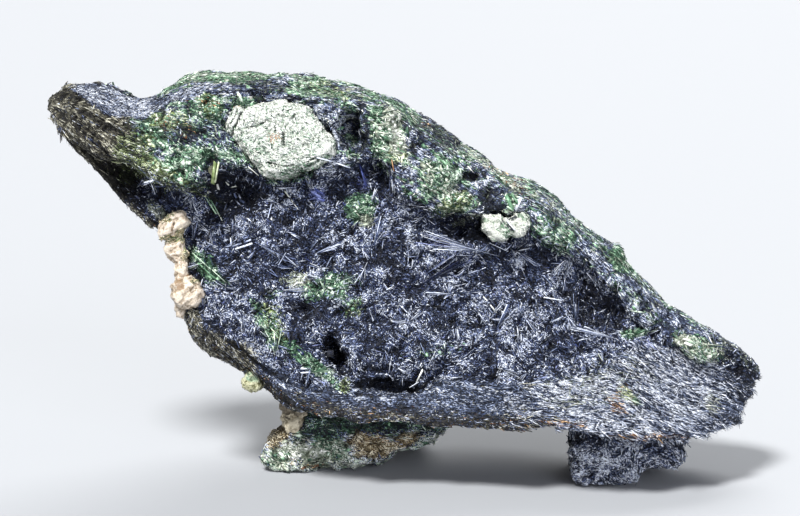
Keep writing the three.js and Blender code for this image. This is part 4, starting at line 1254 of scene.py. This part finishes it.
def schist_look():
    """The rock between its grains: layered streaks and crossing rods of noise, in zones of minerals."""
    look = Look("schist", Specular_IOR_Level=0.5)
    grain = look.attribute("grain", "Vector")
    layers = look.noise(1.0, 4, 0.7, look.turned(grain, scale=(0.5, 3.2, 0.8)), 0.4)
    dashes = look.noise(1.0, 2, 0.6, look.turned(grain, scale=(2.4, 8, 3.4)))
    rods = None
    for turn in ROD_TURNS:
        along = look.turned(look.turned(look.place, turn), scale=(1.5, 6.5, 6.5))
        rod = look.noise(1.0, 0, 0.5, along)
        rods = rod if rods is None else look.most(rods, rod)
    rods = look.span(rods, 0.62, 0.84)
    layered = look.span(look.plus(layers, look.times(dashes, 2.2)), 1.42, 1.9)
    in_layers = look.most(look.attribute("blue"), look.attribute("brown"))
    tint = look.blend(in_layers, rods, look.times(layered, 0.95))
    # Painted shade in the darker places and in crannies, lighter on lumps, times the rock's painted light.
    shade = look.times(look.span(look.attribute("dark"), 0, 1, 1, 0.35), look.attribute("open"))
    shade = look.times(shade, look.attribute("gain"))
    tint = look.times(tint, look.times(shade, 1.4))
    scatter = look.less(look.blend(in_layers, look.noise(3.4, 2, 0.7), dashes), 0.5)
    look.bump(look.plus(layered, rods), 0.7, 0.22)
    base = mineral_colour(look, tint, look.times(scatter, 2.2))
    return look.finish(base, look.span(tint, 0, 0.8, 0.65, 0.35))


rock.data.materials.append(schist_look())
needle_look = grain_look("glaucophane_needles", 0.33, 0.6, 0.14)
lath_look = grain_look("schist_laths", 0.42, 0.5, 0.14)
mica_look = grain_look("mica", 0.3, 0.7, 0.16)
for obj in crystal_grains:
    obj.data.materials.append(lath_look)
for obj in grown:
    looks = {"needles": needle_look, "laths": lath_look, "mica": mica_look}
    obj.data.materials.append(looks[obj.name.split("_")[0]])
for obj in [rock] + grown:
    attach(obj, ROOT)
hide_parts("glaucophane_schist")


def crystal_look(name, stops, dark, leaf, stain, roughness, fibre, speckled, rough_skin):
    """A set-in crystal: cloudy, crossed by fibres, dark in its cracks, with painted shade in its crevices and
    painted highlights on its edges, and with its marks.
    """
    look = Look(name, Specular_IOR_Level=0.5)
    light, painted_light_exposure = look.attribute("light"), look.attribute("open")
    clouds = look.noise(0.6, 3, 0.6, distortion=0.5)
    along = look.turned(look.turned(look.place, (0, 38, 15)), scale=(fibre, 3 * fibre, 3 * fibre))
    fibres = look.noise(1.0, 2, 0.65, along, 0.4)
    grains = look.noise(3.2 * fibre, 1, 0.5)
    tint = look.plus(look.times(fibres, 0.4), look.times(grains, 0.3))
    tint = look.span(look.plus(tint, look.times(clouds, 0.3)), 0.38, 0.62)
    base = look.ramp(tint, *stops)
    leafy = look.span(look.plus(look.attribute("leaf"), look.less(fibres, 0.5)), 0.4, 0.6)
    base = look.mix(look.times(leafy, 0.85), base, look.ramp(tint, *leaf))
    crossing = look.turned(look.place, (20, -50, 35))
    crossing = look.turned(crossing, scale=(0.9 * fibre, 3.4 * fibre, 3.4 * fibre))
    lines = look.span(look.noise(1.0, 1, 0.5, crossing, 0.6), 0.55, 0.63)
    specks = look.most(lines, look.span(look.noise(2.2 * fibre, 1, 0.5), 0.57, 0.66))
    base = look.mix(look.times(look.times(specks, speckled), look.less(1.0, light)), base, dark)
    base = look.mix(look.times(light, 0.6), base, stops[-1][1])
    # Painted shade in crevices and painted highlights on edges.
    base = look.mix(look.span(painted_light_exposure, 0.15, 0.5, 0.45, 0), base, stops[0][1])
    base = look.mix(look.span(painted_light_exposure, 0.55, 0.95, 0, 0.6), base, stops[-1][1])
    stained = look.plus(look.attribute("stain"), look.times(look.less(grains, 0.5), 2))
    base = look.mix(look.span(stained, 0.5, 0.75, 0, 0.75), base, stain)
    holes = look.most(look.attribute("crack"), look.attribute("pit"))
    base = look.mix(look.span(holes, 0.15, 0.6, 0, 0.95), base, dark)
    look.bump(look.less(tint, look.times(specks, 0.5)), rough_skin, 0.2)
    return look.finish(base, look.span(clouds, 0.3, 0.7, roughness - 0.1, roughness + 0.15))


def crystal_shades(*codes, third=0.6):
    """The four colours of a crystal, from dark to light."""
    return shades(*codes, at=(0, 0.3, third, 1))


LEAF = shades("#1f3327", "#47624c", "#82a083", "#c9dac4", at=(0, 0.35, 0.7, 1))
OLIVE_LEAF = shades("#4a4a2c", "#7f8152", "#b4b585", "#e6e5c0", at=(0, 0.35, 0.7, 1))
# Each crystal's colours, its cracks, its green growth, its stains, how rough it is, how fine its fibres are,
# how dark its specks are and how rough its skin is.
LOOKS = {
    "pale_crystal": (
        crystal_shades("#84947f", "#bac4b4", "#d5dad0", "#f2f3ee"),
        "#1f2c24", LEAF, "#a8522f", 0.4, 1.5, 0.75, 0.8,
    ),
    "cream_pair": (
        crystal_shades("#6f7a66", "#9aa08f", "#b8bbae", "#d6d7ce"),
        "#1d232b", LEAF, "#7a7a50", 0.4, 1.8, 0.4, 0.6,
    ),
    "calcite_growth": (
        crystal_shades("#675741", "#9a8871", "#b9a893", "#dacebd"),
        "#3f3324", OLIVE_LEAF, "#7a5c38", 0.4, 1.0, 0.25, 0.45,
    ),
    "rim_knob": (
        crystal_shades("#47462a", "#74734c", "#999872", "#c6c4a4", third=0.65),
        "#33331a", LEAF, "#6b6a30", 0.5, 1.5, 0.5, 0.6,
    ),
    "foot_block": (
        crystal_shades("#655a45", "#8f8369", "#afa388", "#d3c8ae"),
        "#2f291f", OLIVE_LEAF, "#63594a", 0.5, 1.2, 0.4, 0.5,
    ),
    "spear": (
        crystal_shades("#5b5f35", "#8f9260", "#b9ba8a", "#e2e1c2", third=0.65),
        "#2a2b16", OLIVE_LEAF, "#6a6a2c", 0.4, 2.0, 0.5, 0.5,
    ),
}
for name, how in LOOKS.items():
    crystals[name].data.materials.append(crystal_look(name, *how))


# ---- Floor, light and camera -------------------------------------------------------------------------------

FLOOR_RADIUS = 3.0
FLOOR_SIDES = 96


def floor():
    turns = [2 * math.pi * i / FLOOR_SIDES for i in range(FLOOR_SIDES)]
    corners = [(FLOOR_RADIUS * math.cos(a), FLOOR_RADIUS * math.sin(a), 0) for a in turns]
    mesh = bpy.data.meshes.new("floor")
    mesh.from_pydata(corners, [], [range(FLOOR_SIDES)])
    obj = link("floor", mesh)
    obj.location.z = -0.05 * MM
    look = Look("pale_floor", Roughness=0.8)
    mesh.materials.append(look.finish("#9a9c9f"))


def soft_light(name, azimuth, elevation, strength, width, tint="#ffffff"):
    """A distant soft light. Azimuth 0 is in front, 90 to the right; width is its apparent size in degrees."""
    light = bpy.data.lights.new(name, "SUN")
    light.energy = strength
    light.angle = math.radians(width)
    light.color = colour(tint)[:3]
    obj = bpy.data.objects.new(name, light)
    bpy.context.scene.collection.objects.link(obj)
    obj.rotation_euler = (math.radians(90 - elevation), 0, math.radians(azimuth))


floor()
soft_light("key", -28, 56, 5.9, 14)
soft_light("fill", 26, 8, 2.5, 45, "#eef2ff")
soft_light("rim", 165, 48, 2.4, 40)

world = bpy.data.worlds.new("studio")
world.use_nodes = True
world.node_tree.nodes["Background"].inputs["Color"].default_value = colour("#e6e8ec")
world.node_tree.nodes["Background"].inputs["Strength"].default_value = 0.4
bpy.context.scene.world = world

LENS, SENSOR, DISTANCE = 100, 36, 0.311
AIM = Vector((-0.35, -3.6, 30.6)) * MM
camera = bpy.data.objects.new("camera", bpy.data.cameras.new("camera"))
bpy.context.scene.collection.objects.link(camera)
camera.data.lens, camera.data.sensor_width = LENS, SENSOR
camera.data.clip_start, camera.data.clip_end = 0.01, 20
camera.location = AIM + DISTANCE * Vector((0, -COS, SIN))
camera.rotation_euler = (AIM - camera.location).to_track_quat("-Z", "Y").to_euler()
bpy.context.scene.camera = camera
bpy.context.scene.view_settings.view_transform = "Standard"
